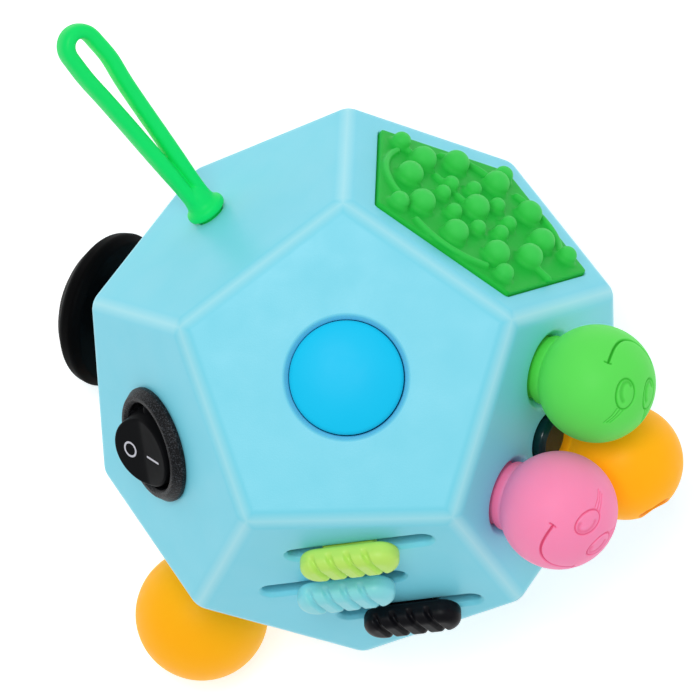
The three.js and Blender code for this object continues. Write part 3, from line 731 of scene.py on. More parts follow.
# The holes in each face, as (outline, wall profile) pairs.
HOLES = {
    "button": [round_hole(BUTTON_RADIUS + 0.13, lip(0.62, 0.8, 0.5), points=96)],
    "thumb": [round_hole(THUMB_RADIUS + 0.25, lip(0.3), points=96)],
    "pad": [(Opening(PAD_CENTRES, PAD_CORNER_ROUND + 0.14, PAD_PLACE, points=45),
             lip(0.14, floor=-1.0))],
    "lanyard": [round_hole(1.9, lip(0.2), LANYARD_PLACE, 32)],
    "rocker": [round_hole(7.2, lip(0.2), ROCKER_PLACE)],
    "trio": [round_hole(NECK_HOLE, lip(1.0, softness=0.8), place) for place in TRIO_PLACES.values()]
            + [round_hole(3.3, lip(0.3), TRIO_CENTRE, 40)],
    "sliders": [(Opening([(SLOT_REACH, 0), (-SLOT_REACH, 0)], SLOT_RADIUS, slot_place(name),
                         SLIDER_TURN, 40), lip(0.45)) for name in SLIDER_NAMES],
    "gears": [(Opening(GEAR_CORNERS, 0.8, points=32), lip(0.4))],
    "dial": [round_hole(3.4, lip(0.2), points=40)],
    "joystick": [round_hole(6.5, lip(0.7, softness=0.6))],
    "bounce": [round_hole(NECK_HOLE, lip(1.0, softness=0.8))],
    "roller": [round_hole(5.7, [(0.25, 0), (0.1, -0.05), (0.02, -0.2), (0.55, -WALL)])],
}

shell("front_shell", FRONT_FACES, REAR_FACES)
shell("rear_shell", REAR_FACES, FRONT_FACES)

# ---- shapes shared by the toys


def crown(radius, edge, top, start, steps=16):
    """Profile of a shallow dome from a radius to the axis: edge high at radius, top at the axis."""
    rise = top - edge
    bend = (radius ** 2 + rise ** 2) / (2 * rise)
    return [(r, top + math.sqrt(bend ** 2 - r ** 2) - bend)
            for r in np.linspace(start, 0, steps + 1)]


def fused(mesh, voxel, smoothing):
    """Overlapping closed shapes made into one soft skin."""
    data = bpy.data.meshes.new("fused")
    data.from_pydata(mesh.points, [], mesh.faces)
    blank = linked("fused", data)
    skin = blank.modifiers.new("skin", "REMESH")
    skin.mode = "VOXEL"
    skin.voxel_size = voxel
    soft = blank.modifiers.new("soft", "SMOOTH")
    soft.factor = 0.5
    soft.iterations = smoothing
    made = blank.evaluated_get(bpy.context.evaluated_depsgraph_get()).to_mesh()
    result = Mesh()
    result.add([v.co for v in made.vertices], [list(f.vertices) for f in made.polygons])
    bpy.data.objects.remove(blank)
    return result


def tube(path, radius, segments=10):
    """A round bar with round ends along a line of points."""
    path = [np.array(p, float) for p in path]
    last = len(path) - 1
    stations = [(0, -85), (0, -60), (0, -30)] + [(i, 0) for i in range(last + 1)]
    stations += [(last, 30), (last, 60), (last, 85)]
    loops = []
    for i, degrees in stations:
        ahead = unit(path[min(i + 1, last)] - path[max(i - 1, 0)])
        side = unit(np.cross(ahead, (0.12, 0.05, 1.0)))
        up = np.cross(side, ahead)
        thin, out = polar(radius, degrees)
        loops.append([path[i] + out * ahead + thin * (x * side + y * up)
                      for x, y, _ in circle(1, 0, segments)])
    mesh = Mesh()
    mesh.loft(loops, ends=(0, -1))
    return mesh


# ---- push button


def push_button():
    corner = [(8.6, -3.3), (8.6, -2.3), (BUTTON_RADIUS, -2.3), (BUTTON_RADIUS, 0.75),
              (6.1, 1.12)]
    profile = [(0, -10.1), (1.5, -10.1), (1.5, -3.3)]
    profile += rounded(corner, [0, 0.15, 0.2, 0.75, 0], 6)[:-1]
    profile += crown(BUTTON_RADIUS, 0.75, 1.95, 6.1)
    build("button_cap_skin", lathe(profile, 128), FACES["button"], "button", MATERIALS["button"],
          ["button_cap"], "button")


def button_spring():
    """The spring under the button, which shortens as the button goes down."""
    matrix = FACES["button"]
    low, high = (box[2] for box in local_box("button_spring", matrix))
    wire, coil, turns = 0.36, 4.2, 4
    path = [(*polar(coil, 360 * turns * share), low + wire + (high - low - 2 * wire) * share)
            for share in np.linspace(0, 1, 28 * turns + 1)]
    piece = build("button_spring_coil", tube(path, wire, 12), matrix, None, MATERIALS["steel"],
                  ["button_spring"], "steel", sharp=60, weighted=False)
    start, end = (matrix @ Vector((0, 0, z)) * MM for z in (low, high))
    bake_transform(piece, "root", "button", start, end)


# ---- lanyard loop

LANYARD_TURN = 20
STRAND_STEPS = 46


def lanyard():
    """Collar and loop in one moulding: two strands side by side that open to a round eye."""
    matrix = sub_frame("lanyard", LANYARD_PLACE, LANYARD_TURN)
    foot_height, eye = 3.2, local_box("lanyard_loop", matrix)[1][2] - 4.0
    collar = lathe(rounded(
        [(0, -3.3), (3, -3.3), (3, -2.3), (1.6, -2.3), (1.6, 0.35), (2.75, 0.35), (2.72, 1.5),
         (2.05, 2.0), (1.85, 3.4), (1.45, 4.8), (0, 5.2)],
        [0, 0.2, 0.2, 0.3, 0.3, 0.6, 0.6, 1.2, 0.8, 0.8, 0], 5), 48)
    heights = np.linspace(foot_height, eye, STRAND_STEPS)
    share = (heights - foot_height) / (eye - foot_height)
    # each strand's distance from the middle, which widens in two stages towards the eye
    apart = 0.92 + 0.35 * smooth_step(share * 2.2) + 0.78 * smooth_step((share - 0.25) / 0.75)
    bow = 0.28 * np.exp(-((share - 0.86) / 0.1) ** 2)
    reach = apart[-1]
    line = [*zip(-apart - bow, heights)]
    line += [(-reach * math.cos(a), eye + reach * math.sin(a) * 1.06)
             for a in np.radians(np.linspace(6, 174, 29))]
    line += [*zip(apart + 0.4 * bow, heights)][::-1]
    line = np.array(line)
    loops = []
    for i, point in enumerate(line):
        ahead = unit(line[min(i + 1, len(line) - 1)] - line[max(i - 1, 0)])
        foot = 1 - smooth_step((point[1] - 3.0) / 8)
        loops.append([])
        for c, s, _ in circle(1, 0, 24):
            across = (1.62 - 0.1 * foot) * math.copysign(abs(c) ** 0.72, c)
            through = (1.02 - 0.17 * foot) * math.copysign(abs(s) ** 0.8, s)
            loops[-1].append((point[0] - through * ahead[1], across,
                              point[1] + through * ahead[0]))
    collar.loft(loops, ends=(0, -1))
    piece = build("lanyard_skin", fused(collar, voxel=0.14, smoothing=4), matrix, None,
                  MATERIALS["lanyard"], ["lanyard_collar", "lanyard_loop"], "lanyard", sharp=0,
                  weighted=False)
    start, end = (matrix @ Vector((0, 0, z)) * MM for z in (2.2, 6.4))
    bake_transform(piece, "root", "lanyard", start, end)


# ---- massage pad

PAD_TOP = 0.55
# Each ring of domes: how many, its radius, the first one's angle, dome radius, dome height.
PAD_DOMES = [(1, 0, 0, 1.8, 2.6), (8, 5, 22, 1.12, 1.8), (10, 10, 18, 1.78, 2.55),
             (5, 14, 54, 1.3, 1.9)]
# Raised arcs near the edges: from and to angles in degrees, radii at both ends.
PAD_ARCS = [(-8, 46, 13.1, 12.5), (68, 116, 13.3, 13.1), (202, 255, 13.2, 12.0),
            (276, 314, 11.6, 11.8)]
# Short raised bars: angle in degrees, inner radius, outer radius.
PAD_BARS = [(162, 11.6, 13.9), (-18, 1.8, 3.2), (-18, 5.8, 7.2), (-18, 11.3, 12.3)]
RIDGE = 0.46                           # radius of the arcs and bars
RIDGE_HEIGHT = PAD_TOP + 0.26          # height of their middle lines


def pad_dome(radius, height):
    """An egg-shaped dome that rises from a soft foot."""
    waist = 0.32 * height
    foot = [(0, -0.4), (radius + 0.4, -0.4), (radius + 0.35, 0.05), (radius + 0.02, 0.4)]
    egg = [(radius * math.cos(a) ** 0.92, waist + (height - waist) * math.sin(a))
           for a in np.radians(np.linspace(0, 84, 12))]
    return lathe(rounded(foot + [egg[0]], [0, 0.1, 0.15, 0.5, 0], 3) + egg[1:] + [(0, height)], 28)


def massage_pad():
    """A thin pentagonal plate with egg-shaped domes, and ridges between them."""
    outline = Opening(PAD_CENTRES, PAD_CORNER_ROUND, points=45)
    mesh = Mesh()
    layers = [(-0.3, -0.9), (0, -0.75), (0, PAD_TOP - 0.15), (-0.15, PAD_TOP)]
    mesh.loft([[(x, y, z) for x, y in outline.loop(offset)] for offset, z in layers],
              ends=(0, -1))
    for count, ring, first, radius, height in PAD_DOMES:
        dome = pad_dome(radius, height)
        for k in range(count):
            spot = np.array((*polar(ring, first + 360 * k / count), PAD_TOP))
            mesh.add(np.array(dome.points) + spot, dome.faces)
    paths = []
    for start, end, first, last in PAD_ARCS:
        shares = np.linspace(0, 1, 19)
        paths.append([(first + (last - first) * share + 0.5 * math.sin(math.pi * share),
                       start + (end - start) * share) for share in shares])
    for angle, near, far in PAD_BARS:
        paths.append([(radius, angle) for radius in np.linspace(near, far, 5)])
    for path in paths:
        ridge = tube([(*polar(radius, angle), RIDGE_HEIGHT) for radius, angle in path], RIDGE)
        mesh.add(ridge.points, ridge.faces)
    matrix = sub_frame("pad", PAD_PLACE)
    piece = build("massage_pad_skin", fused(mesh, voxel=0.16, smoothing=2), matrix, "root",
                  MATERIALS["pad"], ["massage_pad"], "pad", sharp=0, weighted=False)
    rise = moved(vertices_of(piece), matrix.inverted())[:, 2] - PAD_TOP
    # painted highlight: the higher a point rises over the plate, the paler its colour
    set_attribute(piece.data, "crest_highlight", np.interp(rise, (0.1, 0.5, 2.1), (0, 0.55, 1)))


# ---- silicone balls


def neck_and_ball(radius, height, neck, fillet, rows=84):
    """Profile from the plug behind the wall, up a neck that swells in the hole, round the ball."""
    swollen = neck + 0.5
    centre = swollen + fillet
    drop = math.sqrt((radius + fillet) ** 2 - centre ** 2)
    start = -math.degrees(math.atan2(drop, centre))
    bend = arc(centre, height - drop, fillet, 180, 180 + start, 8)
    ball = arc(0, height, radius, start, 90, rows)
    neck_line = rounded([(5.2, -3.5), (5.2, -2.3), (neck, -2.3), (neck, -0.95),
                         (swollen, -0.1), bend[0]], [0, 0.25, 0.2, 0.5, 0.4, 0], 4)
    return [(0, -3.5)] + neck_line[:-1] + bend + ball[1:-1] + [(0, height + radius)]


class FaceLayout:
    """A direction on a ball with an up, in which strokes are drawn in degrees."""

    def __init__(self, centre, up):
        self.centre = unit(np.array(centre))
        self.up = unit(np.array(up) - (np.array(up) @ self.centre) * self.centre)
        self.right = np.cross(self.up, self.centre)

    def spot(self, x, y):
        """The direction at a polar place, x to the right and y up, in degrees."""
        away = math.radians(math.hypot(x, y))
        side = unit(x * self.right + y * self.up)
        return math.cos(away) * self.centre + math.sin(away) * side


SMILE_ENDS, SMILE_MIDDLE = -6, -29.5      # how far up the smile's ends and middle are, in degrees


def smiling_face():
    """Strokes of a simple smiling face: (points in degrees, half width, depth) each."""
    dip = SMILE_ENDS - SMILE_MIDDLE
    mouth = [(32 * t, SMILE_ENDS - dip * (1 - abs(t) ** 2.1)) for t in np.linspace(-1, 1, 41)]
    strokes = [(mouth, 0.17, 0.42)]
    for side in (-1, 1):
        strokes.append(([(side * 35, -8), (side * 32, -5.6), (side * 29.8, -4.4)], 0.12, 0.25))
        eye = [(side * 17.5 + 10.6 * math.cos(a), 28 + 15.4 * math.sin(a))
               for a in np.radians(np.arange(0, 361, 9))]
        strokes.append((eye, 0.13, 0.24))
        iris = [(side * 16.3 + 6.2 * math.cos(a), 26.0 + 10.2 * math.sin(a))
                for a in np.radians(np.linspace(-140, 60, 19))]
        strokes.append((iris, 0.4, 0.16))
        for k in (-1, 0, 1):
            strokes.append(([(side * 21 + 3.9 * k, 43.5 - 1.2 * side * k),
                             (side * 25 + 3.8 * k, 51), (side * 31 + 3.6 * k, 59)], 0.07, 0.16))
    return strokes


def near_line(points, line):
    """Distance of each point to a line of points, or a big number when far from all of it."""
    distances = np.full(len(points), 1e9)
    middle = line.mean(axis=0)
    span = np.linalg.norm(line - middle, axis=1).max() + 1.5
    close = np.linalg.norm(points - middle, axis=1) < span
    points = points[close]
    best = distances[close]
    for start, end in zip(line[:-1], line[1:]):
        along = end - start
        share = np.clip((points - start) @ along / (along @ along), 0, 1)
        best = np.minimum(best, np.linalg.norm(points - start - share[:, None] * along, axis=1))
    distances[close] = best
    return distances


REFINING = (0.4, 0.24, 0.1)              # how far beside a stroke each round of refining reaches


def carve_ball(mesh, radius, centre, layout, strokes, pit=None):
    """Engraves strokes, and a pit for an open mouth, after refining the mesh beside them."""
    lines = [(np.array([layout.spot(x, y) for x, y in points]) * radius + centre, width, depth)
             for points, width, depth in strokes]
    if pit:
        half_width, half_height, pit_depth = pit
        pit_way = layout.spot(0, SMILE_MIDDLE)
        pit_spot = pit_way * radius + centre
    bm = bmesh.new()
    made = [bm.verts.new(p) for p in mesh.points]
    for face in mesh.faces:
        bm.faces.new([made[i] for i in face])
    for reach in REFINING:
        points = np.array([v.co for v in bm.verts])
        near = np.zeros(len(points), bool)
        for line, width, _ in lines:
            near |= near_line(points, line) < width + reach
        if pit:
            near |= np.linalg.norm(points - pit_spot, axis=1) < half_width + reach
        bm.verts.index_update()
        edges = [e for e in bm.edges if near[e.verts[0].index] and near[e.verts[1].index]]
        bmesh.ops.subdivide_edges(bm, edges=edges, cuts=1, use_grid_fill=True)
    points = np.array([v.co for v in bm.verts])
    away = np.linalg.norm(points - centre, axis=1)
    carved = np.zeros(len(points))
    for line, width, depth in lines:
        gap = np.minimum(near_line(points, line) / (width + 0.1), 1)
        carved = np.maximum(carved, depth * (0.5 + 0.5 * np.cos(math.pi * gap)))
    if pit:
        side = (points - pit_spot) @ layout.right / half_width
        rise = (points - pit_spot) @ np.cross(pit_way, layout.right) / half_height
        spread = np.hypot(side, rise + 0.3 * side ** 2)
        spread[np.linalg.norm(points - pit_spot, axis=1) > radius] = 1
        carved = np.maximum(carved, pit_depth * smooth_step((1 - spread) * half_height / 0.5))
    fixed = centre + (points - centre) * ((radius - carved) / away)[:, None]
    for vert, spot, on_ball in zip(bm.verts, fixed, np.abs(away - radius) < 0.05):
        if on_ball:
            vert.co = spot
    bm.verts.index_update()
    result = Mesh()
    result.add([v.co for v in bm.verts], [[v.index for v in f.verts] for f in bm.faces])
    bm.free()
    return result


def fixed_ball(name, mesh, radius, height, face, place, material, neck_shade=0.0):
    """A ball on its neck: the plug stays in the wall, the neck bends, the ball leans."""
    matrix = sub_frame(face, place)
    piece = build(name + "_skin", mesh, matrix, None, MATERIALS[material],
                  [name, name + "_plug"], material, sharp=70, weighted=False)
    middle = np.array(matrix @ Vector((0, 0, height)))
    sunk = radius - np.linalg.norm(vertices_of(piece) - middle, axis=1)
    # painted shade: the engraved strokes and the mouth's pit, and the neck at its given strength, take a darker
    # colour
    tone = np.interp(sunk, (-0.5, -0.1, 0.02, 0.3, 0.5, 0.9, 1.5, 1.6),
                     (neck_shade, 0, 0, 1, 1, 0.35, 0.35, 0))
    set_attribute(piece.data, "groove_shade", tone)
    start, end = (matrix @ Vector((0, 0, z)) * MM for z in (-1.6, 1.3))
    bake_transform(piece, "root", name, start, end)


TRIO_RADIUS, TRIO_HEIGHT = 7.7, 7.2
BOUNCE_RADIUS, BOUNCE_HEIGHT = 9.2, 13.3
# Where the faces on the balls look, and which way is up on them.
FACE_DIRECTIONS = {
    "green": ((0.483, 0.34, 0.807), (-0.847, -0.05, 0.529)),
    "pink": ((-0.576, 0.475, 0.665), (0.62, -0.276, 0.734)),
}
OPEN_MOUTH = np.array((-0.632, -0.031, 0.778))
MOUTH_FROM_TOP = 86                     # degrees from straight up to the middle of the open mouth


def small_balls():
    centre = np.array((0, 0, TRIO_HEIGHT))
    profile = neck_and_ball(TRIO_RADIUS, TRIO_HEIGHT, NECK, 0.8)
    front = np.array(FACES["trio"].to_3x3().inverted() @ Vector((0, 0, 1)))
    for colour, place in TRIO_PLACES.items():
        if colour == "amber":
            out = unit(OPEN_MOUTH - (front @ unit(OPEN_MOUTH)) * np.linalg.norm(OPEN_MOUTH) * front)
            turn, down = math.radians(MOUTH_FROM_TOP), math.radians(-SMILE_MIDDLE)
            mouth = math.cos(turn) * front + math.sin(turn) * out
            up = unit((front @ mouth) * mouth - front)
            layout = FaceLayout(math.cos(down) * mouth + math.sin(down) * up, up)
            strokes, pit = smiling_face()[2:], (2.4, 2.7, 1.5)
        else:
            layout = FaceLayout(*FACE_DIRECTIONS[colour])
            strokes, pit = smiling_face(), None
        mesh = carve_ball(lathe(profile, 160), TRIO_RADIUS, centre, layout, strokes, pit)
        name = "ball_" + colour
        # the necks get painted shade as well
        fixed_ball(name, mesh, TRIO_RADIUS, TRIO_HEIGHT, "trio", place, name, neck_shade=0.6)


def retainer():
    """The dark plate that holds the three plugs, and its boss between the balls."""
    profile = rounded(
        [(0, -5), (14.4, -5), (14.4, -3.8), (3, -3.8), (3, 0.9), (2.3, 1.3), (0, 1.3)],
        [0, 0.3, 0.3, 0.5, 0.5, 0.5, 0], 5)
    build("ball_retainer_skin", lathe(profile, 96), sub_frame("trio", TRIO_CENTRE), "root",
          MATERIALS["hub"], ["ball_retainer"], "dark_plastic")


def bouncer():
    mesh = lathe(neck_and_ball(BOUNCE_RADIUS, BOUNCE_HEIGHT, NECK, 2.2, 96), 160)
    fixed_ball("bounce_ball", mesh, BOUNCE_RADIUS, BOUNCE_HEIGHT, "bounce",
               place_of("bounce_ball", "bounce"), "ball_amber")


# ---- sliders

CAP_HALF, CAP_RADIUS, CAP_BOTTOM, CAP_TOP, CAP_EDGE = 4.0, 2.6, 0.3, 3.45, 1.5
GROOVE_PITCH, GROOVE_DEPTH, GROOVE_TURN = 2.3, 0.66, math.radians(15)
GROOVE_FLOOR, GROOVE_WALL = 0.05, 0.2  # half a floor's width and a wall's width, in pitches


def cap_loop(offset):
    """The cap's outline at an offset, evenly divided, and its outward directions."""
    radius = CAP_RADIUS + offset
    points = []
    for side in (1, -1):
        for a in np.linspace(-90, 90, 41)[:-1]:
            c, s = polar(side, a)
            points.append((side * CAP_HALF + radius * c, radius * s, c, s))
        for x in np.linspace(CAP_HALF, -CAP_HALF, 73)[:-1]:
            points.append((side * x, side * radius, 0.0, side))
    return points


def grooved(x, y, z, normal):
    """A point of the cap sunk by the slanting grooves that run over its top and out below."""
    beyond = max(0.0, CAP_TOP - z) * math.copysign(1, y)
    unrolled = y + 0.6 * beyond * min(1.0, abs(y) / 1.5)
    across = x * math.cos(GROOVE_TURN) + unrolled * math.sin(GROOVE_TURN)
    from_middle = abs((across / GROOVE_PITCH) % 1 - 0.5)
    wave = 1 - smooth_step((from_middle - GROOVE_FLOOR) / GROOVE_WALL)
    inside = smooth_step((2.12 * GROOVE_PITCH - abs(across)) / 0.3)
    fade = smooth_step((z - 1.3) / 1.1 if y > 0 else (z - 0.6) / 0.7)
    return np.array((x, y, z)) - GROOVE_DEPTH * wave * inside * fade * np.array(normal)


def slider(name):
    loops = []
    for offset, z in ((-2.0, CAP_BOTTOM), (-0.9, CAP_BOTTOM), (-0.5, CAP_BOTTOM + 0.09),
                      (-0.2, CAP_BOTTOM + 0.3), (-0.05, CAP_BOTTOM + 0.58)):
        loops.append([(x, y, z) for x, y, _, _ in cap_loop(offset)])
    shoulder = CAP_TOP - CAP_EDGE
    for z in np.linspace(CAP_BOTTOM + 0.9, shoulder, 6):
        loops.append([grooved(x, y, z, (c, s, 0)) for x, y, c, s in cap_loop(0)])
    for a in np.linspace(0, 90, 15)[1:]:
        out, rise = polar(1, a)
        loops.append([grooved(x, y, shoulder + CAP_EDGE * rise, (c * out, s * out, rise))
                      for x, y, c, s in cap_loop(-CAP_EDGE * (1 - out))])
    for offset in np.linspace(-CAP_EDGE, -CAP_RADIUS, 9)[1:]:
        loops.append([grooved(x, y, CAP_TOP, (0, 0, 1)) for x, y, _, _ in cap_loop(offset)])
    mesh = Mesh()
    mesh.loft(loops, ends=(0,))
    stem = Opening([(2.9, 0.5), (-2.9, 0.5), (-2.9, -0.5), (2.9, -0.5)], 0.6, points=24)
    mesh.loft([[(x, y, z) for x, y in stem.loop(offset)]
               for offset, z in ((-0.2, -4.1), (0, -3.9), (0, CAP_BOTTOM + 0.3))], ends=(0, -1))
    node = "slider_" + name
    slot, finish = ("black_plastic", "cap_black") if name == "black" else (node, node)
    build(node + "_skin", mesh, sub_frame("sliders", place_of(node, "sliders"), SLIDER_TURN),
          node, MATERIALS[finish], [node], slot, sharp=60)


# ---- rocker switch

ROCKER_TURN = 65
ROCKER_PIVOT, ROCKER_TILT = 0.6, 9.8
PADDLE_REACH, PADDLE_END, PADDLE_SHIFT = 5.7, 26.6, -0.45
PADDLE_SEGMENTS, PADDLE_EDGE, PADDLE_FOOT = 120, 0.32, -1.2


def paddle_height(x):
    """The paddle's top: two slopes that meet in a soft valley over the pivot."""
    reach, end = polar(PADDLE_REACH, PADDLE_END)
    return 1.8 + (end - 1.8) / reach * (math.hypot(x, 0.35) - 0.2)


def paddle_ring(inset=0.0, height=None, drop=0.0, spread=0.0):
    """An oval round the paddle's top at an inset; spread takes it out to the full circle."""
    points = []
    for c, s, _ in circle(1, 0, PADDLE_SEGMENTS):
        near = np.array(((5.55 - inset) * c, PADDLE_SHIFT + (4.75 - inset) * s))
        x, y = near + spread * (5.45 * np.array((c, s)) - near)
        points.append((x, y, paddle_height(x) - drop if height is None else height))
    return points


def rocker():
    matrix = sub_frame("rocker", ROCKER_PLACE, ROCKER_TURN)
    ring = rounded([(5.2, -11.2), (6.9, -11.2), (6.9, 0.03), (7.85, 0.03), (7.85, 0.7),
                    (7.0, 1.75), (6.4, 1.75), (6.0, 1.3), (6.0, -10), (5.2, -10)],
                   [0.2, 0.3, 0.2, 0.25, 0.35, 0.3, 0.2, 0.3, 0.2, 0.2], 5, closed=True)
    bezel = lathe(ring, 128, closed=True)
    floor = lathe([(0, -11.2), (5.4, -11.2), (5.4, -10.0), (0, -10.0)], 48)
    bezel.add(floor.points, floor.faces)
    build("rocker_housing_skin", bezel, matrix, "root", MATERIALS["black_spark"],
          ["rocker_housing"], "black_plastic")
    low, high = (np.array(paddle_ring(height=PADDLE_FOOT, spread=1.0)),
                 np.array(paddle_ring(drop=PADDLE_EDGE)))
    loops = [paddle_ring(2.4, -2.0, spread=1.0), paddle_ring(0, -1.9, spread=0.96), low]
    loops += [low + share * (high - low) for share in (0.3, 0.6, 0.85)]
    for a in (0, 20, 40, 60, 75, 90):
        out, rise = polar(PADDLE_EDGE, a)
        loops.append(paddle_ring(PADDLE_EDGE - out, drop=PADDLE_EDGE - rise))
    loops += [paddle_ring(inset) for inset in np.linspace(PADDLE_EDGE, 4.6, 20)[1:]]
    middle = [(x * 0.02, PADDLE_SHIFT + (y - PADDLE_SHIFT) * 0.02) for x, y, _ in loops[-1]]
    loops.append([(x, y, paddle_height(x)) for x, y in middle])
    mesh = Mesh()
    mesh.loft(loops, ends=(-1, 0))
    for part in (lathe(rounded([(0, -5.8), (2.2, -5.8), (2.2, -1.5), (0, -1.5)], 0.2), 32),
                 tube([(0, -5.2, 0), (0, 0, 0), (0, 5.2, 0)], 0.7, 16)):
        mesh.add(part.points, part.faces)
    tilt = Matrix.Rotation(math.radians(ROCKER_TILT), 4, "Y")
    matrix = matrix @ Matrix.Translation((0, 0, ROCKER_PIVOT)) @ tilt
    build("rocker_paddle_skin", mesh, matrix, "rocker", MATERIALS["gloss_black"],
          ["rocker_paddle"], "black_plastic", sharp=50, merge=1e-3)
    rocker_marks(matrix)


def rocker_marks(matrix):
    """A ring and a bar laid flush into the two slopes."""
    mesh = Mesh()
    mesh.loft([[(x - 2.57, y - 0.45, paddle_height(x - 2.57) + rise)
                for x, y, _ in circle(radius, 0, 48)]
               for radius, rise in ((0.84, -0.1), (0.85, 0.01), (0.88, 0.03), (1.1, 0.03),
                                    (1.13, 0.01), (1.14, -0.1))], ring=True)
    bar = Opening([(1.42, 0), (-1.42, 0)], 0.15, (2.2, -0.95), -3.5, 32)
    mesh.loft([[(x, y, paddle_height(x) + rise) for x, y in bar.loop(offset)]
               for offset, rise in ((0, -0.1), (0, 0.01), (-0.03, 0.03), (-0.14, 0.03))],
              ends=(0, -1))
    build("rocker_marks_skin", mesh, matrix, "rocker", MATERIALS["mark"], (), "black_plastic",
          sharp=50)


# ---- joystick


def joystick():
    profile = rounded(
        [(0, 6.9), (2.5, 6.9), (2.5, 2.6), (4, 2.6), (4, 7.0), (6.2, 8.35), (9.9, 8.65),
         (10.95, 9.7), (10.6, 11.5), (8.6, 13.25)],
        [0, 0.3, 0.3, 0.45, 1.2, 1.4, 0.7, 0.9, 1.6, 0], 8)
    profile += rounded([(8.6, 13.25), (6.9, 14.4), (5.2, 14.75), (3.4, 14.1), (0, 13.85)],
                       [0, 2.2, 1.8, 2.4, 0], 8)[1:]
    build("joystick_cap_skin", lathe(profile, 128), FACES["joystick"], "joystick",
          MATERIALS["black_rubber"], ["joystick_cap"], "black_rubber", sharp=60)


# ---- dial

TOOTH_POINTS = 16                      # points along one tooth and its gap


def toothed_loop(root, tip, teeth, root_share, tip_share, z):
    """A loop with flat-topped teeth; the shares are half widths as parts of the pitch."""
    loop = []
    for k in range(teeth * TOOTH_POINTS):
        share = (k / TOOTH_POINTS) % 1.0
        away = min(share, 1 - share)
        rise = 1 - smooth_step((away - tip_share) / (root_share - tip_share))
        loop.append((*polar(root + (tip - root) * rise, 360 * k / (teeth * TOOTH_POINTS)), z))
    return loop


def dial():
    """A toothed knob with a dimple for a fingertip and a fine turned line."""
    teeth, around = 20, 20 * TOOTH_POINTS
    dimple_x, dimple_radius, dimple_depth = 6.0, 1.75, 0.8
    line_radius, line_width, line_depth = 5.9, 0.22, 0.16
    loops = [circle(3.4, 0.4, around)]
    for inset, z in ((0.9, 0.4), (0.3, 0.42), (0.08, 0.55), (0.0, 0.8), (0, 2.5), (0, 4.2),
                     (0.08, 4.5), (0.3, 4.72)):
        loops.append(toothed_loop(10 - inset, 10.5 - inset * 1.1, teeth, 0.34, 0.17, z))
    rings = rounded([(9.62, 4.78), (8.75, 5.8), (3.9, 5.8), (3.3, 5.2), (3.25, 3.7)],
                    [0, 0.35, 0.35, 0.4, 0], 5)
    fine = []
    for (r0, z0), (r1, z1) in zip(rings[:-1], rings[1:]):
        steps = max(1, int(math.hypot(r1 - r0, z1 - z0) / 0.22))
        fine += [(r0 + (r1 - r0) * k / steps, z0 + (z1 - z0) * k / steps) for k in range(steps)]
    for r, z in [*fine, rings[-1]]:
        loops.append([])
        gap = (r - line_radius) / line_width
        line = line_depth * math.exp(-gap ** 2) if z > 5.7 else 0.0
        for x, y, _ in circle(r, z, around):
            from_dimple = math.hypot(x - dimple_x, y)
            sunk = 1 - smooth_step(from_dimple / dimple_radius) if z > 5.3 else 0.0
            loops[-1].append((x, y, z - dimple_depth * sunk
                              - (line if from_dimple > 2.3 else 0.0)))
    mesh = Mesh()
    mesh.loft(loops)
    build("dial_knob_skin", mesh, FACES["dial"], "dial", MATERIALS["cap_black"], ["dial_knob"],
          "black_plastic", sharp=45)


# ---- thumb gears


def gears():
    """Three gears side by side, each with a recess in its sides and rounded teeth."""
    axle_depth, width, pitch, teeth = -3.8, 3.9, 4.5, 12
    loops = []
    for sign in (-1, 1):
        half = [circle(radius, sign * (width / 2 - drop), teeth * TOOTH_POINTS)
                for radius, drop in ((1.5, 0.15), (1.65, 0), (2.5, 0), (2.7, 0.12), (2.9, 0.45),
                                     (4.2, 0.45), (4.4, 0.12), (4.6, 0))]
        half += [toothed_loop(5.3 - inset, 6.4 - inset * 1.4, teeth, 0.36, 0.13,
                              sign * (width / 2 - drop))
                 for inset, drop in ((0.45, 0.0), (0.16, 0.06), (0.03, 0.22), (0.0, 0.45))]
        loops += half[::-sign]
    mesh = Mesh()
    mesh.loft(loops, ring=True)
    for k in range(3):
        matrix = FACES["gears"] @ Matrix.Translation(((k - 1) * pitch, 0, axle_depth)) \
            @ Matrix.Rotation(math.pi / 2, 4, "Y")
        name = f"gear_{k + 1}"
        build(name + "_skin", mesh, matrix, name, MATERIALS["cap_black"], [name],
              "black_plastic", sharp=50)


# ---- roller ball


def roller():
    """A steel ball with three fine turned lines round the axis that it rolls on."""
    radius = 6.0
    line_angles, line_width, line_depth = (-32, 0, 32), 0.9, 0.09
    profile = [(0, -radius)]
    for a in np.linspace(-90, 90, 181)[1:-1]:
        line = sum(math.exp(-((a - middle) / line_width) ** 2) for middle in line_angles)
        profile.append(polar(radius - line_depth * line, a))
    matrix = FACES["roller"] @ Matrix.Translation((0, 0, -2.2)) \
        @ Matrix.Rotation(math.pi / 2, 4, "Y")
    build("roller_ball_skin", lathe(profile + [(0, radius)], 128), matrix, "roller",
          MATERIALS["steel"], ["roller_ball"], "steel", sharp=70)


# ---- thumb pad


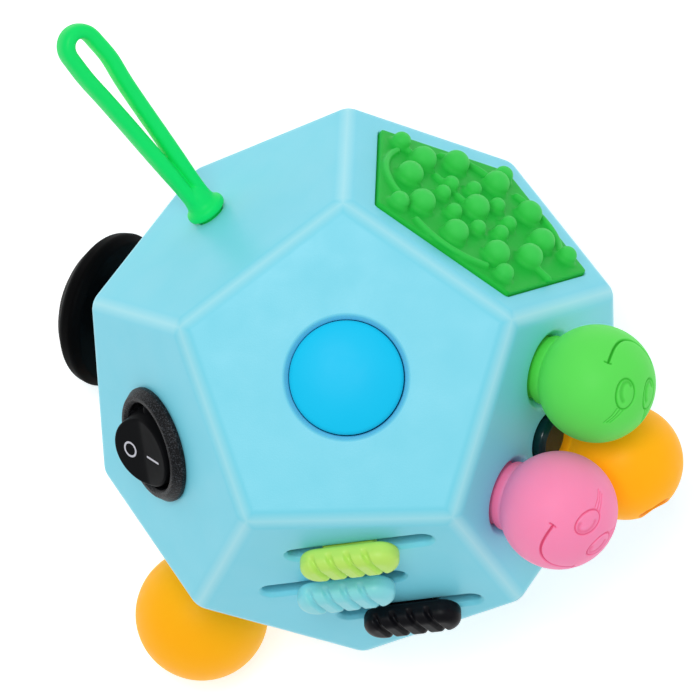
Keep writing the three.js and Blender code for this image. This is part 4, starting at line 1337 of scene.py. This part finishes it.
def thumb_pad():
    """A flush pad: a flat rim, a dished ring for the thumb with fine ribs, a raised middle."""
    outer, inner, edge = 12.1, 5.9, -0.25   # the dished ring's radii, and its edges' height
    dish_depth, rib_depth, rib_pitch = 1.05, 0.07, 0.775
    profile = rounded([(0, -3.6), (15.4, -3.6), (15.4, -2.3), (THUMB_RADIUS, -2.3),
                       (THUMB_RADIUS, 0), (12.6, 0), (outer, edge)],
                      [0, 0.2, 0.2, 0.2, 0.3, 0.2, 0], 5)
    for r in np.linspace(outer, inner, 94)[1:-1]:
        dish = dish_depth * math.sin(math.pi * (outer - r) / (outer - inner)) ** 0.8
        rib = rib_depth * (0.5 - 0.5 * math.cos(TAU * (outer - r) / rib_pitch))
        profile.append((r, edge - dish - rib))
    profile += rounded([(inner, edge), (5.4, 0), (2.2, 0), (1.2, -0.35), (0, -0.4)],
                       [0, 0.3, 0.5, 0.8, 0], 5)
    build("thumb_pad_skin", lathe(profile, 160), FACES["thumb"], "root", MATERIALS["thumb"],
          ["thumb_pad"], "dark_plastic", sharp=60)


push_button()
button_spring()
lanyard()
massage_pad()
small_balls()
retainer()
bouncer()
for slider_name in SLIDER_NAMES:
    slider(slider_name)
rocker()
joystick()
dial()
gears()
roller()
thumb_pad()

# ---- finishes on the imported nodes

for part in frame["record"]["subparts"]:
    node = frame["nodes"][part["node"]]
    node.data.materials.clear()
    node.data.materials.append(MATERIALS[part["material_slot"]])

# ---- floor and light


def add_light(name, spot, size, power):
    """A round soft light at a spot, aimed at the middle of the body."""
    data = bpy.data.lights.new(name, "AREA")
    data.shape = "DISK"
    data.size = size * MM
    data.energy = power
    back = (Vector(spot) - BODY_CENTRE).normalized()
    matrix = back.to_track_quat("Z", "Y").to_matrix().to_4x4()
    matrix.translation = Vector(spot) * MM
    linked(name, data).matrix_world = matrix


def add_floor():
    made = Finish("floor", Roughness=0.6, Emission_Color=(1, 1, 1, 1), Emission_Strength=0.45)
    made.colour(made.mix(made.noise(300), srgb(250, 250, 250), srgb(254, 254, 254)))
    mesh = Mesh()
    mesh.loft([circle(r, -0.02, 64) for r in (60, 200, 600, 2500)], ends=(0,))
    build("floor", mesh, Matrix.Identity(4), None, made.material, sharp=0,
                   weighted=False)


def add_world():
    world = bpy.data.worlds.new("studio")
    bpy.context.scene.world = world
    world.use_nodes = True
    background = world.node_tree.nodes["Background"]
    background.inputs["Color"].default_value = (1.0, 1.0, 1.0, 1.0)
    background.inputs["Strength"].default_value = 0.47


add_floor()
add_world()
add_light("key", (-60, 90, 640), 240, 1.55)
add_light("fill", (420, -60, 380), 320, 0.13)
add_light("top", (-40, 420, 160), 240, 0.06)
bpy.context.scene.view_settings.view_transform = "Standard"
